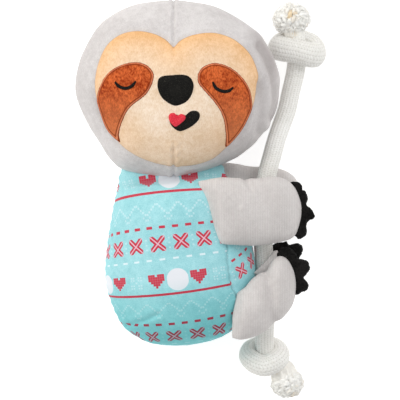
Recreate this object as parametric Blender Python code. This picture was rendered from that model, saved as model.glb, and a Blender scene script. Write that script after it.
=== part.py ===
"""A plush sloth that lies on its back and holds a knotted rope. Metres, +Z up.

+X is the side that the arms reach to, +Y is towards the head, and the floor is z = 0.
"""

import math

import bmesh
import bpy
from mathutils import Matrix, Vector

# Driving sizes of the toy
TORSO_LENGTH = 0.1085
TORSO_BELOW_ORIGIN = 0.0564
TORSO_HALF_WIDTH = 0.0465
TORSO_HALF_DEPTH = 0.0335
TORSO_TILT = math.radians(5.3)
HEAD_WIDTH = 0.1265
HEAD_HEIGHT = 0.1098
HEAD_DEPTH = 0.0770
HEAD_ABOVE_NECK = 0.0508
HEAD_SIDE_SHIFT = 0.0037
ROPE_DIAMETER = 0.0118
ROPE_HEIGHT = 0.0315

# Fabric and clearances
PLUSH = 0.0015
PRINTED_FABRIC = 0.0011
PATCH_FABRIC = 0.0010
EMBROIDERY = 0.0007
NOSE_EMBROIDERY = 0.0014
GAP = 0.0003
NECK_SLACK = 0.0002
REST_CUT = 0.0005
OVERRUN = 0.0300
# How far the head turns either way on the neck, and the steps in which its room is found
HEAD_TURN_DEGREES = 20
HEAD_TURN_STEPS = 16

# How finely the round shapes are divided
TORSO_SIDES = 28
NECK_ROOM_SIDES = 80
HEAD_SIDES = 36
HEAD_RINGS = 11
LIMB_SIDES = 16
OUTLINE_STEPS = 3

# Torso, from the bottom to the neck inside the head: share of the length, of the half width and of the half
# depth. The neck is shallow, so that the chin stands over it
torsoRingShares = [
    (0.000, 0.000, 0.000), (0.012, 0.280, 0.300), (0.034, 0.486, 0.520), (0.065, 0.620, 0.660),
    (0.120, 0.774, 0.800), (0.195, 0.886, 0.900), (0.280, 0.955, 0.970), (0.380, 1.000, 1.000),
    (0.500, 0.985, 1.000), (0.630, 0.933, 1.000), (0.780, 0.845, 0.980), (0.880, 0.775, 0.870),
    (0.925, 0.740, 0.700), (0.945, 0.730, 0.520), (0.965, 0.715, 0.410), (1.000, 0.690, 0.370),
    (1.060, 0.560, 0.330), (1.110, 0.410, 0.270), (1.150, 0.260, 0.190), (1.172, 0.120, 0.090),
    (1.180, 0.000, 0.000),
]
neckShare = 0.880
sideSeamShare = 0.68
headSeamShare = -0.035
headPuffPower = 2.2
ovalPower = 2.1

# Outlines on the head, as shares of its half width and half height from its centre
headOutlineShares = [
    (-0.049, 1.006), (0.265, 0.966), (0.480, 0.881), (0.735, 0.689), (0.902, 0.452), (0.990, 0.203),
    (1.000, -0.023), (0.951, -0.282), (0.824, -0.520), (0.627, -0.734), (0.451, -0.836), (0.206, -0.938),
    (-0.049, -0.994), (-0.284, -0.977), (-0.539, -0.900), (-0.676, -0.757), (-0.765, -0.588),
    (-0.853, -0.429), (-0.941, -0.226), (-0.995, -0.056), (-1.000, 0.090), (-0.961, 0.316),
    (-0.873, 0.531), (-0.775, 0.701), (-0.647, 0.830), (-0.402, 0.960),
]
faceOutlineShares = [
    (-0.034, 0.480), (0.039, 0.554), (0.176, 0.616), (0.373, 0.633), (0.569, 0.554), (0.716, 0.384),
    (0.784, 0.203), (0.794, 0.045), (0.745, -0.203), (0.627, -0.497), (0.480, -0.678), (0.343, -0.802),
    (0.176, -0.864), (-0.020, -0.881), (-0.225, -0.847), (-0.402, -0.768), (-0.569, -0.621),
    (-0.716, -0.384), (-0.784, -0.181), (-0.814, 0.079), (-0.784, 0.282), (-0.706, 0.475),
    (-0.578, 0.605), (-0.422, 0.655), (-0.245, 0.633), (-0.118, 0.565),
]
leftPatchShares = [
    (-0.402, 0.305), (-0.294, 0.271), (-0.230, 0.192), (-0.221, 0.113), (-0.255, 0.000), (-0.314, -0.090),
    (-0.451, -0.215), (-0.525, -0.367), (-0.559, -0.508), (-0.563, -0.599), (-0.690, -0.452),
    (-0.765, -0.226), (-0.784, -0.107), (-0.750, 0.045), (-0.676, 0.181), (-0.549, 0.271),
]
rightPatchShares = [
    (0.373, 0.294), (0.265, 0.260), (0.206, 0.192), (0.191, 0.113), (0.206, 0.045), (0.255, -0.023),
    (0.373, -0.181), (0.441, -0.328), (0.466, -0.508), (0.480, -0.655), (0.627, -0.475), (0.721, -0.260),
    (0.732, -0.158), (0.706, 0.000), (0.618, 0.153), (0.500, 0.254),
]
leftEyeShares = [(-0.598, 0.075), (-0.559, 0.027), (-0.495, 0.003), (-0.436, 0.028), (-0.397, 0.082)]
rightEyeShares = [(0.343, 0.075), (0.377, 0.006), (0.441, -0.029), (0.500, -0.023), (0.539, 0.014)]
EYE_STITCH_WIDTH = 0.0017
noseShares = [
    (-0.196, 0.038), (-0.183, 0.112), (-0.139, 0.146), (-0.041, 0.158), (0.067, 0.160), (0.130, 0.129),
    (0.163, 0.061), (0.163, -0.007), (0.140, -0.086), (0.096, -0.148), (0.037, -0.185), (-0.022, -0.197),
    (-0.080, -0.171), (-0.139, -0.120), (-0.178, -0.052),
]
mouthShares = [
    (-0.078, -0.316), (-0.059, -0.277), (-0.010, -0.282), (0.059, -0.305), (0.118, -0.254), (0.167, -0.237),
    (0.216, -0.260), (0.225, -0.316), (0.196, -0.373), (0.127, -0.435), (0.029, -0.479), (-0.039, -0.441),
    (-0.074, -0.384),
]
tongueShares = [
    (-0.082, -0.316), (-0.064, -0.278), (-0.029, -0.273), (0.005, -0.299), (0.039, -0.282), (0.074, -0.296),
    (0.083, -0.333), (0.049, -0.379), (-0.015, -0.425), (-0.064, -0.379),
]

# Ribs of a limb, from its root seam to its rounded paw. Each row is the rib's upper and lower end, as shares
# of the reach and of the width: (along, across, along, across).
armRibShares = [
    (-0.14, 0.44, 0.10, -0.44), (0.02, 0.50, 0.17, -0.47), (0.19, 0.52, 0.30, -0.49),
    (0.42, 0.50, 0.47, -0.50), (0.65, 0.53, 0.66, -0.48), (0.81, 0.49, 0.82, -0.43),
    (0.91, 0.38, 0.92, -0.35), (0.97, 0.22, 0.98, -0.14), (1.00, 0.05, 1.00, 0.02),
]
legRibShares = [
    (0.20, 0.34, -0.28, -0.34), (0.35, 0.35, -0.12, -0.50), (0.53, 0.37, 0.06, -0.62),
    (0.76, 0.40, 0.33, -0.64), (0.94, 0.43, 0.58, -0.58), (1.06, 0.41, 0.78, -0.47),
    (1.11, 0.25, 0.93, -0.34), (1.10, 0.06, 1.02, -0.20), (1.08, -0.07, 1.06, -0.12),
]
# Height of each rib's middle over the grip, and its half thickness, as shares of the limb's thickness
frontRiseShares = [0.30, 0.45, 0.32, 0.15, 0.00, -0.15, -0.28, -0.36, -0.37]
frontLegRiseShares = [0.00, 0.16, 0.10, 0.01, -0.02, -0.12, -0.22, -0.28, -0.30]
backRiseShares = [0.02, 0.01, 0.00, 0.00, 0.00, 0.10, 0.20, 0.27, 0.28]
frontSwellShares = [0.10, 0.27, 0.41, 0.48, 0.50, 0.48, 0.38, 0.22, 0.06]
frontLegSwellShares = [0.12, 0.36, 0.46, 0.50, 0.50, 0.45, 0.35, 0.20, 0.06]
backSwellShares = [0.34, 0.44, 0.49, 0.50, 0.50, 0.47, 0.38, 0.22, 0.06]

# Claws: outlines with blunt points, as shares of the span across the paw and of the reach beyond the paw
armClawShares = [
    (-0.47, -0.39), (-0.50, -0.12), (-0.48, 0.33), (-0.40, 0.51), (-0.25, 0.41), (-0.15, 0.43),
    (-0.13, 0.93), (-0.07, 1.09), (0.04, 0.66), (0.09, 0.29), (0.20, 0.34), (0.30, 0.21),
    (0.37, -0.10), (0.44, -0.19), (0.50, -0.40), (0.51, -0.77), (0.49, -1.06), (0.40, -1.35),
    (0.10, -1.30), (-0.20, -1.20), (-0.40, -0.90),
]
legClawShares = [
    (-0.55, -0.93), (-0.57, -0.58), (-0.64, -0.24), (-0.59, 0.07), (-0.47, 0.20), (-0.38, 0.13),
    (-0.32, 0.30), (-0.32, 0.64), (-0.28, 0.97), (-0.18, 1.12), (-0.08, 0.99), (0.06, 1.02),
    (0.14, 0.83), (0.25, 0.83), (0.34, 0.61), (0.36, 0.25), (0.31, -0.22), (0.15, -0.85),
    (-0.10, -1.10), (-0.35, -1.20),
]
backLegClawShares = [
    (-0.46, 0.43), (-0.45, 0.84), (-0.37, 1.08), (-0.27, 1.04), (-0.24, 1.26), (-0.22, 1.62),
    (-0.13, 1.76), (-0.04, 1.54), (0.01, 1.22), (0.04, 0.89), (0.14, 0.96), (0.22, 0.68),
    (0.29, 0.33), (0.30, -0.06), (0.05, -0.60), (-0.25, -0.60),
]
# Its under face, its widest section and its upper face: height and size
clawLayerShares = [(-0.5, 0.88), (0.0, 1.0), (0.5, 0.88)]

# A limb's layer is 1 over the rope and -1 under it; its turn is in degrees
limbs = {
    "left_arm": {
        "layer": 1, "rootShares": (0.748, 0.483), "turn": 0.0,
        "reach": 0.0564, "width": 0.0412, "thickness": 0.0234,
        "ribShares": armRibShares, "riseShares": frontRiseShares, "swellShares": frontSwellShares,
        "clawShares": armClawShares,
        "clawPlaceShares": (1.00, 0.02), "clawTurn": -4.0, "clawSpan": 0.0345, "clawReach": 0.0075,
        "hingeShares": (0.02, 0.53),
    },
    "right_arm": {
        "layer": -1, "rootShares": (0.862, 0.512), "turn": -7.0,
        "reach": 0.0560, "width": 0.0375, "thickness": 0.0230,
        "ribShares": armRibShares, "riseShares": backRiseShares, "swellShares": backSwellShares,
        "clawShares": armClawShares,
        "clawPlaceShares": (0.98, -0.12), "clawTurn": -2.0, "clawSpan": 0.0270, "clawReach": 0.0062,
        "hingeShares": (-0.12, -0.50),
    },
    "left_leg": {
        "layer": 1, "rootShares": (0.184, 0.680), "turn": 34.7,
        "reach": 0.0409, "width": 0.0310, "thickness": 0.0210,
        "ribShares": legRibShares, "riseShares": frontLegRiseShares, "swellShares": frontLegSwellShares,
        "clawShares": legClawShares,
        "clawPlaceShares": (1.06, 0.10), "clawTurn": 4.0, "clawSpan": 0.0300, "clawReach": 0.0085,
        "hingeShares": (0.02, 0.25),
    },
    "right_leg": {
        "layer": -1, "rootShares": (0.215, 0.610), "turn": 38.0,
        "reach": 0.0409, "width": 0.0260, "thickness": 0.0190,
        "ribShares": legRibShares, "riseShares": backRiseShares, "swellShares": backSwellShares,
        "clawShares": backLegClawShares,
        "clawPlaceShares": (1.06, 0.14), "clawTurn": 6.0, "clawSpan": 0.0290, "clawReach": 0.0080,
        "hingeShares": (-0.24, -0.50),
    },
}
CLAW_THICKNESS = 0.0060

# The rope: route points from the upper knot to the lower one, and where the paws hide its joins
ropeRoute = [
    (0.0719, 0.1110, 0.0130), (0.0694, 0.1004, 0.0145), (0.0670, 0.0899, 0.0175),
    (0.0639, 0.0812, 0.0210), (0.0608, 0.0725, 0.0250), (0.0577, 0.0614, 0.0290),
    (0.0546, 0.0496, 0.0313), (0.0527, 0.0341, 0.0315), (0.0520, 0.0186, 0.0315),
    (0.0523, 0.0056, 0.0315), (0.0534, -0.0093, 0.0315), (0.0542, -0.0230, 0.0312),
    (0.0539, -0.0335, 0.0292), (0.0534, -0.0420, 0.0245), (0.0531, -0.0477, 0.0205),
]
UPPER_JOIN_Y = 0.0300
LOWER_JOIN_Y = -0.0120
ropeEndShare = 0.4
ROPE_SAMPLES = 241
# Each knot: its place on the rope, the rope's way on through it, and the turn drawn tight round that
knots = {
    "upper_knot": {
        "ropeEnd": 0,
        "core": [
            (0.0733, 0.1200, 0.0126), (0.0735, 0.1270, 0.0130),
            (0.0725, 0.1335, 0.0133), (0.0718, 0.1375, 0.0130),
        ],
        "centre": (0.0735, 0.1280, 0.0130),
        "across": 0.0122, "lean": -0.0025, "slope": 0.0055, "lift": 0.0082,
    },
    "lower_knot": {
        "ropeEnd": -1,
        "core": [
            (0.0532, -0.0560, 0.0155), (0.0545, -0.0625, 0.0135),
            (0.0585, -0.0685, 0.0125), (0.0622, -0.0722, 0.0120),
        ],
        "centre": (0.0530, -0.0626, 0.0130),
        "across": 0.0100, "lean": 0.0010, "slope": 0.0064, "lift": 0.0082,
    },
}
KNOT_RING_STEPS = 18
TUBE_SIDES = 10
TUFT_SIDES = 12
KNOT_STUB = 0.0040
KNOT_RING_RADIUS = 0.0060
tufts = {
    "upper_frayed_end": {
        "knot": "upper_knot",
        "route": [(0.0717, 0.1380, 0.0130), (0.0709, 0.1435, 0.0130), (0.0700, 0.1495, 0.0130),
                  (0.0698, 0.1535, 0.0130), (0.0696, 0.1565, 0.0130)],
        "swellShares": [0.92, 1.36, 2.03, 2.10, 1.50],
    },
    "lower_frayed_end": {
        "knot": "lower_knot",
        "route": [(0.0624, -0.0725, 0.0119), (0.0655, -0.0762, 0.0117), (0.0690, -0.0805, 0.0115),
                  (0.0710, -0.0832, 0.0115), (0.0723, -0.0848, 0.0115)],
        "swellShares": [0.96, 1.35, 1.76, 1.70, 1.25],
    },
}

MATERIALS = {
    "grey plush": ((0.59, 0.55, 0.55), 0.95),
    "cream plush": ((0.90, 0.63, 0.35), 0.95),
    "rust plush": ((0.56, 0.12, 0.02), 0.95),
    "black thread": ((0.010, 0.010, 0.011), 0.60),
    "red felt": ((0.74, 0.03, 0.08), 0.85),
    "aqua print": ((0.36, 0.72, 0.76), 0.85),
    "black pile": ((0.008, 0.008, 0.009), 0.98),
    "fibre fill": ((0.85, 0.85, 0.83), 1.00),
    "cotton rope": ((0.83, 0.83, 0.79), 0.90),
}

torsoCentreZ = TORSO_HALF_DEPTH - REST_CUT
headCentreZ = HEAD_DEPTH / 2 - REST_CUT
torsoAxis = Vector((-math.sin(TORSO_TILT), math.cos(TORSO_TILT), 0))
torsoSide = Vector((math.cos(TORSO_TILT), math.sin(TORSO_TILT), 0))
torsoBottom = torsoAxis * -TORSO_BELOW_ORIGIN + Vector((0, 0, torsoCentreZ))
neckPoint = torsoBottom + torsoAxis * TORSO_LENGTH
headCentre = Vector((neckPoint.x + HEAD_SIDE_SHIFT, neckPoint.y + HEAD_ABOVE_NECK, headCentreZ))
ropeRadius = ROPE_DIAMETER / 2


def clearScene():
    for old in list(bpy.data.objects):
        bpy.data.objects.remove(old, do_unlink=True)


def makeMaterials():
    made = {}
    for name, (colour, roughness) in MATERIALS.items():
        material = bpy.data.materials.new(name)
        material.use_nodes = True
        shader = material.node_tree.nodes["Principled BSDF"]
        shader.inputs["Base Color"].default_value = (*colour, 1)
        shader.inputs["Roughness"].default_value = roughness
        shader.inputs["Metallic"].default_value = 0
        material.diffuse_color = (*colour, 1)
        made[name] = material
    return made


def smoothLoop(points, steps, closed=True):
    """Points of a Catmull-Rom curve through these, with so many steps between two of them."""
    count = len(points)
    found = []
    spans = count if closed else count - 1
    for i in range(spans):
        if closed:
            a, b, c, d = (points[(i + k) % count] for k in (-1, 0, 1, 2))
        else:
            a, b, c, d = (points[min(max(i + k, 0), count - 1)] for k in (-1, 0, 1, 2))
        for step in range(steps):
            t = step / steps
            found.append(
                0.5 * (2 * b + (c - a) * t + (2 * a - 5 * b + 4 * c - d) * t**2
                       + (3 * b - a - 3 * c + d) * t**3)
            )
    if not closed:
        found.append(points[-1].copy())
    return found


def spread(points, count, closed=True):
    """So many points at even distances along a line of points."""
    line = points + [points[0]] if closed else points
    lengths = [0.0]
    for a, b in zip(line, line[1:]):
        lengths.append(lengths[-1] + (b - a).length)
    total = lengths[-1]
    found = []
    k = 0
    for i in range(count):
        target = total * i / (count if closed else count - 1)
        while k < len(line) - 2 and lengths[k + 1] < target:
            k += 1
        share = (target - lengths[k]) / (lengths[k + 1] - lengths[k])
        found.append(line[k].lerp(line[k + 1], share))
    return found


def meshOf(name, bm):
    mesh = bpy.data.meshes.new(name)
    bm.to_mesh(mesh)
    bm.free()
    obj = bpy.data.objects.new(name, mesh)
    bpy.context.scene.collection.objects.link(obj)
    return obj


def hide(obj):
    obj.hide_render = True
    obj.display_type = "WIRE"
    return obj


def ringMesh(name, rings, grow=0.0):
    """A closed solid through rings of points. A ring of one point is a pole. grow moves the surface out."""
    bm = bmesh.new()
    rows = [[bm.verts.new(point) for point in ring] for ring in rings]
    for low, high in zip(rows, rows[1:]):
        count = max(len(low), len(high))
        for i in range(count):
            j = (i + 1) % count
            corners = []
            for vert in (low[i % len(low)], low[j % len(low)], high[j % len(high)], high[i % len(high)]):
                if vert not in corners:
                    corners.append(vert)
            bm.faces.new(corners)
    for row in (rows[0], rows[-1]):
        if len(row) > 2:
            bm.faces.new(row)
    bmesh.ops.recalc_face_normals(bm, faces=bm.faces)
    if bm.calc_volume(signed=True) < 0:
        bmesh.ops.reverse_faces(bm, faces=bm.faces)
    bm.normal_update()
    if grow:
        moves = [vert.normal * grow for vert in bm.verts]
        for vert, move in zip(bm.verts, moves):
            vert.co += move
    return meshOf(name, bm)


def prism(name, outline, low, high):
    """An outline in the plan, extruded from one height to another."""
    return ringMesh(name, [[Vector((p.x, p.y, z)) for p in outline] for z in (low, high)])


def box(name, low, high):
    bm = bmesh.new()
    bmesh.ops.create_cube(bm, size=1)
    middle = (low + high) / 2
    size = high - low
    for vert in bm.verts:
        vert.co = middle + Vector((vert.co.x * size.x, vert.co.y * size.y, vert.co.z * size.z))
    return hide(meshOf(name, bm))


def boolean(obj, other, operation):
    step = obj.modifiers.new(other.name, "BOOLEAN")
    step.object = other
    step.operation = operation
    step.solver = "EXACT"


def finish(obj, material, origin=None):
    obj.data.materials.append(materials[material])
    for face in obj.data.polygons:
        face.use_smooth = True
    if origin is not None:
        obj.data.transform(Matrix.Translation(-origin))
        obj.location = origin
    return obj


def torsoPlace(alongShare, acrossShare):
    onAxis = torsoBottom + torsoAxis * (TORSO_LENGTH * alongShare)
    return onAxis + torsoSide * (TORSO_HALF_WIDTH * acrossShare)


def ovalRing(centre, across, up, sides, power=2.0):
    ring = []
    for i in range(sides):
        angle = math.tau * i / sides
        c, s = math.cos(angle), math.sin(angle)
        bend = (abs(c) ** power + abs(s) ** power) ** (-1 / power)
        ring.append(centre + across * (c * bend) + up * (s * bend))
    return ring


def torsoForm(name, grow):
    up = Vector((0, 0, TORSO_HALF_DEPTH))
    rings = []
    for along, width, depth in torsoRingShares:
        centre = torsoPlace(along, 0)
        if width == 0:
            rings.append([centre])
        else:
            across = torsoSide * (TORSO_HALF_WIDTH * width)
            rings.append(ovalRing(centre, across, up * depth, TORSO_SIDES, ovalPower))
    return hide(ringMesh(name, rings, grow))


def neckRoom(name):
    """The room that the neck takes up inside the head while the head turns both ways on it."""
    most = math.radians(HEAD_TURN_DEGREES)
    turns = [most * (2 * i / HEAD_TURN_STEPS - 1) for i in range(HEAD_TURN_STEPS + 1)]
    rings = []
    for along, width, depth in torsoRingShares:
        centre = torsoPlace(along, 0)
        if along < neckShare:
            continue
        if width == 0:
            rings.append([centre])
            continue
        ring = []
        for i in range(NECK_ROOM_SIDES):
            angle = math.tau * i / NECK_ROOM_SIDES
            reach = 0.0
            for turn in turns:
                flat = abs(math.cos(angle - turn)) / (TORSO_HALF_WIDTH * width)
                deep = abs(math.sin(angle - turn)) / (TORSO_HALF_DEPTH * depth)
                reach = max(reach, (flat**ovalPower + deep**ovalPower) ** (-1 / ovalPower))
            rise = Vector((0, 0, reach * math.sin(angle)))
            ring.append(centre + torsoSide * (reach * math.cos(angle)) + rise)
        rings.append(ring)
    return hide(ringMesh(name, rings, GAP + NECK_SLACK))


def headPoint(xShare, yShare):
    return headCentre + Vector((xShare * HEAD_WIDTH / 2, yShare * HEAD_HEIGHT / 2, 0))


def headOutline(shares, steps=OUTLINE_STEPS):
    return smoothLoop([headPoint(*share) for share in shares], steps)


def headForm(name, grow):
    outline = spread(headOutline(headOutlineShares, 6), HEAD_SIDES)
    layers = []
    for k in range(HEAD_RINGS + 2):
        turn = math.pi * (k / (HEAD_RINGS + 1) - 0.5)
        rise = math.sin(turn)
        scale = (1 - abs(rise) ** headPuffPower) ** (1 / headPuffPower)
        centre = headCentre + Vector((0, 0, rise * HEAD_DEPTH / 2))
        if k in (0, HEAD_RINGS + 1):
            layers.append([centre])
        else:
            layers.append([centre + (p - headCentre) * scale for p in outline])
    return hide(ringMesh(name, layers, grow))


def makeTorso():
    inner = torsoForm("torso_inner", -PRINTED_FABRIC)
    big = TORSO_LENGTH + TORSO_HALF_WIDTH + OVERRUN
    seamX = TORSO_HALF_WIDTH * sideSeamShare
    panels = {
        "torso_front_panel": (
            Vector((-big, -big, torsoCentreZ + GAP / 2)), Vector((seamX - GAP / 2, big, big)),
        ),
        "torso_back_panel": (Vector((-big, -big, 0)), Vector((seamX - GAP / 2, big, torsoCentreZ - GAP / 2))),
        "torso_side_panel": (Vector((seamX + GAP / 2, -big, 0)), Vector((big, big, big))),
    }
    for name, (low, high) in panels.items():
        panel = torsoForm(name, 0)
        panel.hide_render = False
        panel.display_type = "TEXTURED"
        boolean(panel, inner, "DIFFERENCE")
        boolean(panel, box(name + "_region", low, high), "INTERSECT")
        finish(panel, "aqua print")
    filling = torsoForm("torso_filling", -PRINTED_FABRIC - GAP)
    filling.hide_render = False
    filling.display_type = "TEXTURED"
    finish(filling, "fibre fill")


def shellPiece(name, low, high, outline, material):
    """A piece that lies on the head's front between two offsets of the head's surface, inside an outline."""
    piece = headForm(name, high)
    piece.hide_render = False
    piece.display_type = "TEXTURED"
    if low not in headForms:
        headForms[low] = headForm("head_offset_%d" % len(headForms), low)
    top = headCentre.z + HEAD_DEPTH
    boolean(piece, hide(prism(name + "_outline", outline, headCentre.z, top)), "INTERSECT")
    boolean(piece, headForms[low], "DIFFERENCE")
    return finish(piece, material, neckPoint)


def arcOutline(points, width):
    line = smoothLoop(points, 4, closed=False)
    left, right = [], []
    for i, point in enumerate(line):
        along = (line[min(i + 1, len(line) - 1)] - line[max(i - 1, 0)]).normalized()
        side = Vector((-along.y, along.x, 0)) * (width / 2)
        left.append(point + side)
        right.append(point - side)
    return left + right[::-1]


def makeHead():
    seamX = headPoint(headSeamShare, 0).x
    inner = headForm("head_inner", -PLUSH)
    room = neckRoom("neck_room")
    faceOutline = headOutline(faceOutlineShares, 2)
    middle = headPoint(0, 0)
    wider = [p + (p - middle).normalized() * GAP for p in faceOutline]
    faceHole = hide(prism("face_hole", wider, headCentre.z, headCentre.z + HEAD_DEPTH))
    big = HEAD_WIDTH + OVERRUN
    regions = {
        "head_panel_right": (
            Vector((seamX - big, headCentre.y - big, 0)), Vector((seamX - GAP / 2, headCentre.y + big, big)),
        ),
        "head_panel_left": (
            Vector((seamX + GAP / 2, headCentre.y - big, 0)), Vector((seamX + big, headCentre.y + big, big)),
        ),
    }
    for name, (low, high) in regions.items():
        panel = headForm(name, 0)
        panel.hide_render = False
        panel.display_type = "TEXTURED"
        boolean(panel, inner, "DIFFERENCE")
        boolean(panel, room, "DIFFERENCE")
        boolean(panel, box(name + "_region", low, high), "INTERSECT")
        boolean(panel, faceHole, "DIFFERENCE")
        finish(panel, "grey plush", neckPoint)
    face = shellPiece("face_panel", -PLUSH, 0, faceOutline, "cream plush")
    boolean(face, room, "DIFFERENCE")
    onFace = GAP
    onPatch = onFace + PATCH_FABRIC + GAP
    patchTop = onFace + PATCH_FABRIC
    shellPiece("eye_patch_right", onFace, patchTop, headOutline(leftPatchShares, 2), "rust plush")
    shellPiece("eye_patch_left", onFace, patchTop, headOutline(rightPatchShares, 2), "rust plush")
    eyes = {"closed_eye_right": leftEyeShares, "closed_eye_left": rightEyeShares}
    for name, shares in eyes.items():
        arc = arcOutline([headPoint(*share) for share in shares], EYE_STITCH_WIDTH)
        shellPiece(name, onPatch, onPatch + EMBROIDERY, arc, "black thread")
    shellPiece("nose", onFace, onFace + NOSE_EMBROIDERY, headOutline(noseShares, 2), "black thread")
    shellPiece("mouth", onFace, patchTop, headOutline(mouthShares, 2), "black thread")
    shellPiece("tongue", onPatch, onPatch + EMBROIDERY, headOutline(tongueShares, 2), "red felt")
    filling = headForm("head_filling", -PLUSH - GAP)
    filling.hide_render = False
    filling.display_type = "TEXTURED"
    boolean(filling, room, "DIFFERENCE")
    finish(filling, "fibre fill", neckPoint)


def limbFrame(limb):
    root = torsoPlace(*limb["rootShares"])
    turn = math.radians(limb["turn"])
    along = Vector((math.cos(turn), math.sin(turn), 0))
    across = Vector((-along.y, along.x, 0))
    root.z = ROPE_HEIGHT + limb["layer"] * (ropeRadius + GAP + limb["thickness"] / 2)
    return root, along, across


def limbForm(name, limb, grow, rootShift=0.0):
    """A limb between its ribs. grow makes each rib larger, and rootShift moves the root's end along."""
    root, along, across = limbFrame(limb)
    rings = []
    last = len(limb["ribShares"]) - 1
    profile = zip(limb["ribShares"], limb["riseShares"], limb["swellShares"])
    for i, (rib, rise, swell) in enumerate(profile):
        high = root + along * (rib[0] * limb["reach"]) + across * (rib[1] * limb["width"])
        low = root + along * (rib[2] * limb["reach"]) + across * (rib[3] * limb["width"])
        half = (high - low) / 2
        halfThickness = swell * limb["thickness"] + grow
        if half.length + grow < PLUSH / 2 or halfThickness < PLUSH / 2:
            continue
        centre = (high + low) / 2 + Vector((0, 0, rise * limb["thickness"]))
        if i == 0:
            centre += along * rootShift
        elif i == last:
            centre += along * grow
        halfAcross = half.normalized() * (half.length + grow)
        rings.append(ovalRing(centre, halfAcross, Vector((0, 0, halfThickness)), LIMB_SIDES, ovalPower))
    return hide(ringMesh(name, rings))


def limbHinge(limb):
    """A point on the line that the limb turns on: a front limb's is over its seam, a back limb's under it."""
    root, along, across = limbFrame(limb)
    alongShare, riseShare = limb["hingeShares"]
    return root + along * (alongShare * limb["reach"]) + Vector((0, 0, riseShare * limb["thickness"]))


def makeLimb(name, limb):
    hinge = limbHinge(limb)
    inner = limbForm(name + "_inner", limb, -PLUSH, -PLUSH)
    clear = limbForm(name + "_clear", limb, GAP, -GAP)
    sleeve = limbForm(name + "_sleeve", limb, 0)
    filling = limbForm(name + "_filling", limb, -PLUSH - GAP, PLUSH)
    for piece, material in ((sleeve, "grey plush"), (filling, "fibre fill")):
        piece.hide_render = False
        piece.display_type = "TEXTURED"
        if piece is sleeve:
            boolean(piece, inner, "DIFFERENCE")
        boolean(piece, torsoClear, "DIFFERENCE")
        finish(piece, material, hinge)
    root, along, across = limbFrame(limb)
    turn = math.radians(limb["turn"] + limb["clawTurn"])
    outward = Vector((math.cos(turn), math.sin(turn), 0))
    sideways = Vector((-outward.y, outward.x, 0))
    alongShare, acrossShare = limb["clawPlaceShares"]
    base = root + along * (alongShare * limb["reach"]) + across * (acrossShare * limb["width"])
    base.z += limb["riseShares"][-1] * limb["thickness"]
    rings = []
    for height, share in clawLayerShares:
        rings.append([
            base + sideways * (x * share * limb["clawSpan"]) + outward * (y * share * limb["clawReach"])
            + Vector((0, 0, height * CLAW_THICKNESS))
            for x, y in limb["clawShares"]
        ])
    claws = ringMesh(name + "_claws", rings)
    boolean(claws, clear, "DIFFERENCE")
    finish(claws, "black pile", hinge)


def tubeMesh(name, points, radii, sides=TUBE_SIDES, closed=False):
    rings = []
    count = len(points)
    side = Vector((0, 0, 1))
    for i, point in enumerate(points):
        if closed:
            along = (points[(i + 1) % count] - points[i - 1]).normalized()
        else:
            along = (points[min(i + 1, count - 1)] - points[max(i - 1, 0)]).normalized()
        side = (side - along * side.dot(along)).normalized()
        rings.append(ovalRing(point, side * radii[i], along.cross(side) * radii[i], sides))
    if not closed:
        return ringMesh(name, rings)
    bm = bmesh.new()
    rows = [[bm.verts.new(p) for p in ring] for ring in rings]
    for i in range(count):
        low, high = rows[i], rows[(i + 1) % count]
        for j in range(sides):
            bm.faces.new((low[j], low[(j + 1) % sides], high[(j + 1) % sides], high[j]))
    bmesh.ops.recalc_face_normals(bm, faces=bm.faces)
    if bm.calc_volume(signed=True) < 0:
        bmesh.ops.reverse_faces(bm, faces=bm.faces)
    return meshOf(name, bm)


def knotPieces(name, knot, grow):
    """The rope's run through the knot, and the turn that is drawn tight round it."""
    end = Vector(ropeRoute[knot["ropeEnd"]])
    before = Vector(ropeRoute[1 if knot["ropeEnd"] == 0 else -2])
    along = (end - before).normalized()
    through = [end + along * (GAP / 2), end + along * KNOT_STUB] + [Vector(p) for p in knot["core"]]
    core = smoothLoop(through, 2, closed=False)
    coreTube = tubeMesh(name, core, [ropeRadius + grow] * len(core))
    centre = Vector(knot["centre"])
    ring = []
    for i in range(KNOT_RING_STEPS):
        angle = math.tau * i / KNOT_RING_STEPS
        ring.append(centre + Vector((
            knot["across"] * math.cos(angle),
            knot["lean"] * math.cos(angle) - knot["slope"] * math.sin(angle),
            knot["lift"] * math.sin(angle),
        )))
    turn = tubeMesh(name + "_turn", ring, [KNOT_RING_RADIUS + grow] * KNOT_RING_STEPS, closed=True)
    return coreTube, hide(turn)


def floorBox(name):
    wide = HEAD_WIDTH + TORSO_LENGTH
    return box(name, Vector((-wide, -wide, -OVERRUN)), Vector((wide, wide, 0)))


def makeKnots(floor):
    for name, knot in knots.items():
        core, turn = knotPieces(name, knot, 0)
        boolean(core, turn, "UNION")
        boolean(core, floor, "DIFFERENCE")
        finish(core, "cotton rope")
    for name, tuft in tufts.items():
        points = [Vector(p) for p in tuft["route"]]
        end = tubeMesh(name, points, [share * ropeRadius for share in tuft["swellShares"]], TUFT_SIDES)
        core, turn = knotPieces(tuft["knot"] + "_clear", knots[tuft["knot"]], GAP)
        boolean(end, turn, "DIFFERENCE")
        boolean(end, hide(core), "DIFFERENCE")
        boolean(end, floor, "DIFFERENCE")
        finish(end, "cotton rope")


def ropeStretch(name, points):
    curve = bpy.data.curves.new(name, "CURVE")
    curve.dimensions = "3D"
    curve.bevel_depth = ropeRadius
    curve.bevel_resolution = 2
    curve.use_fill_caps = True
    spline = curve.splines.new("POLY")
    spline.points.add(len(points) - 1)
    for slot, point in zip(spline.points, points):
        slot.co = (*point, 1)
    obj = bpy.data.objects.new(name, curve)
    bpy.context.scene.collection.objects.link(obj)
    curve.materials.append(materials["cotton rope"])
    return obj


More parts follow.
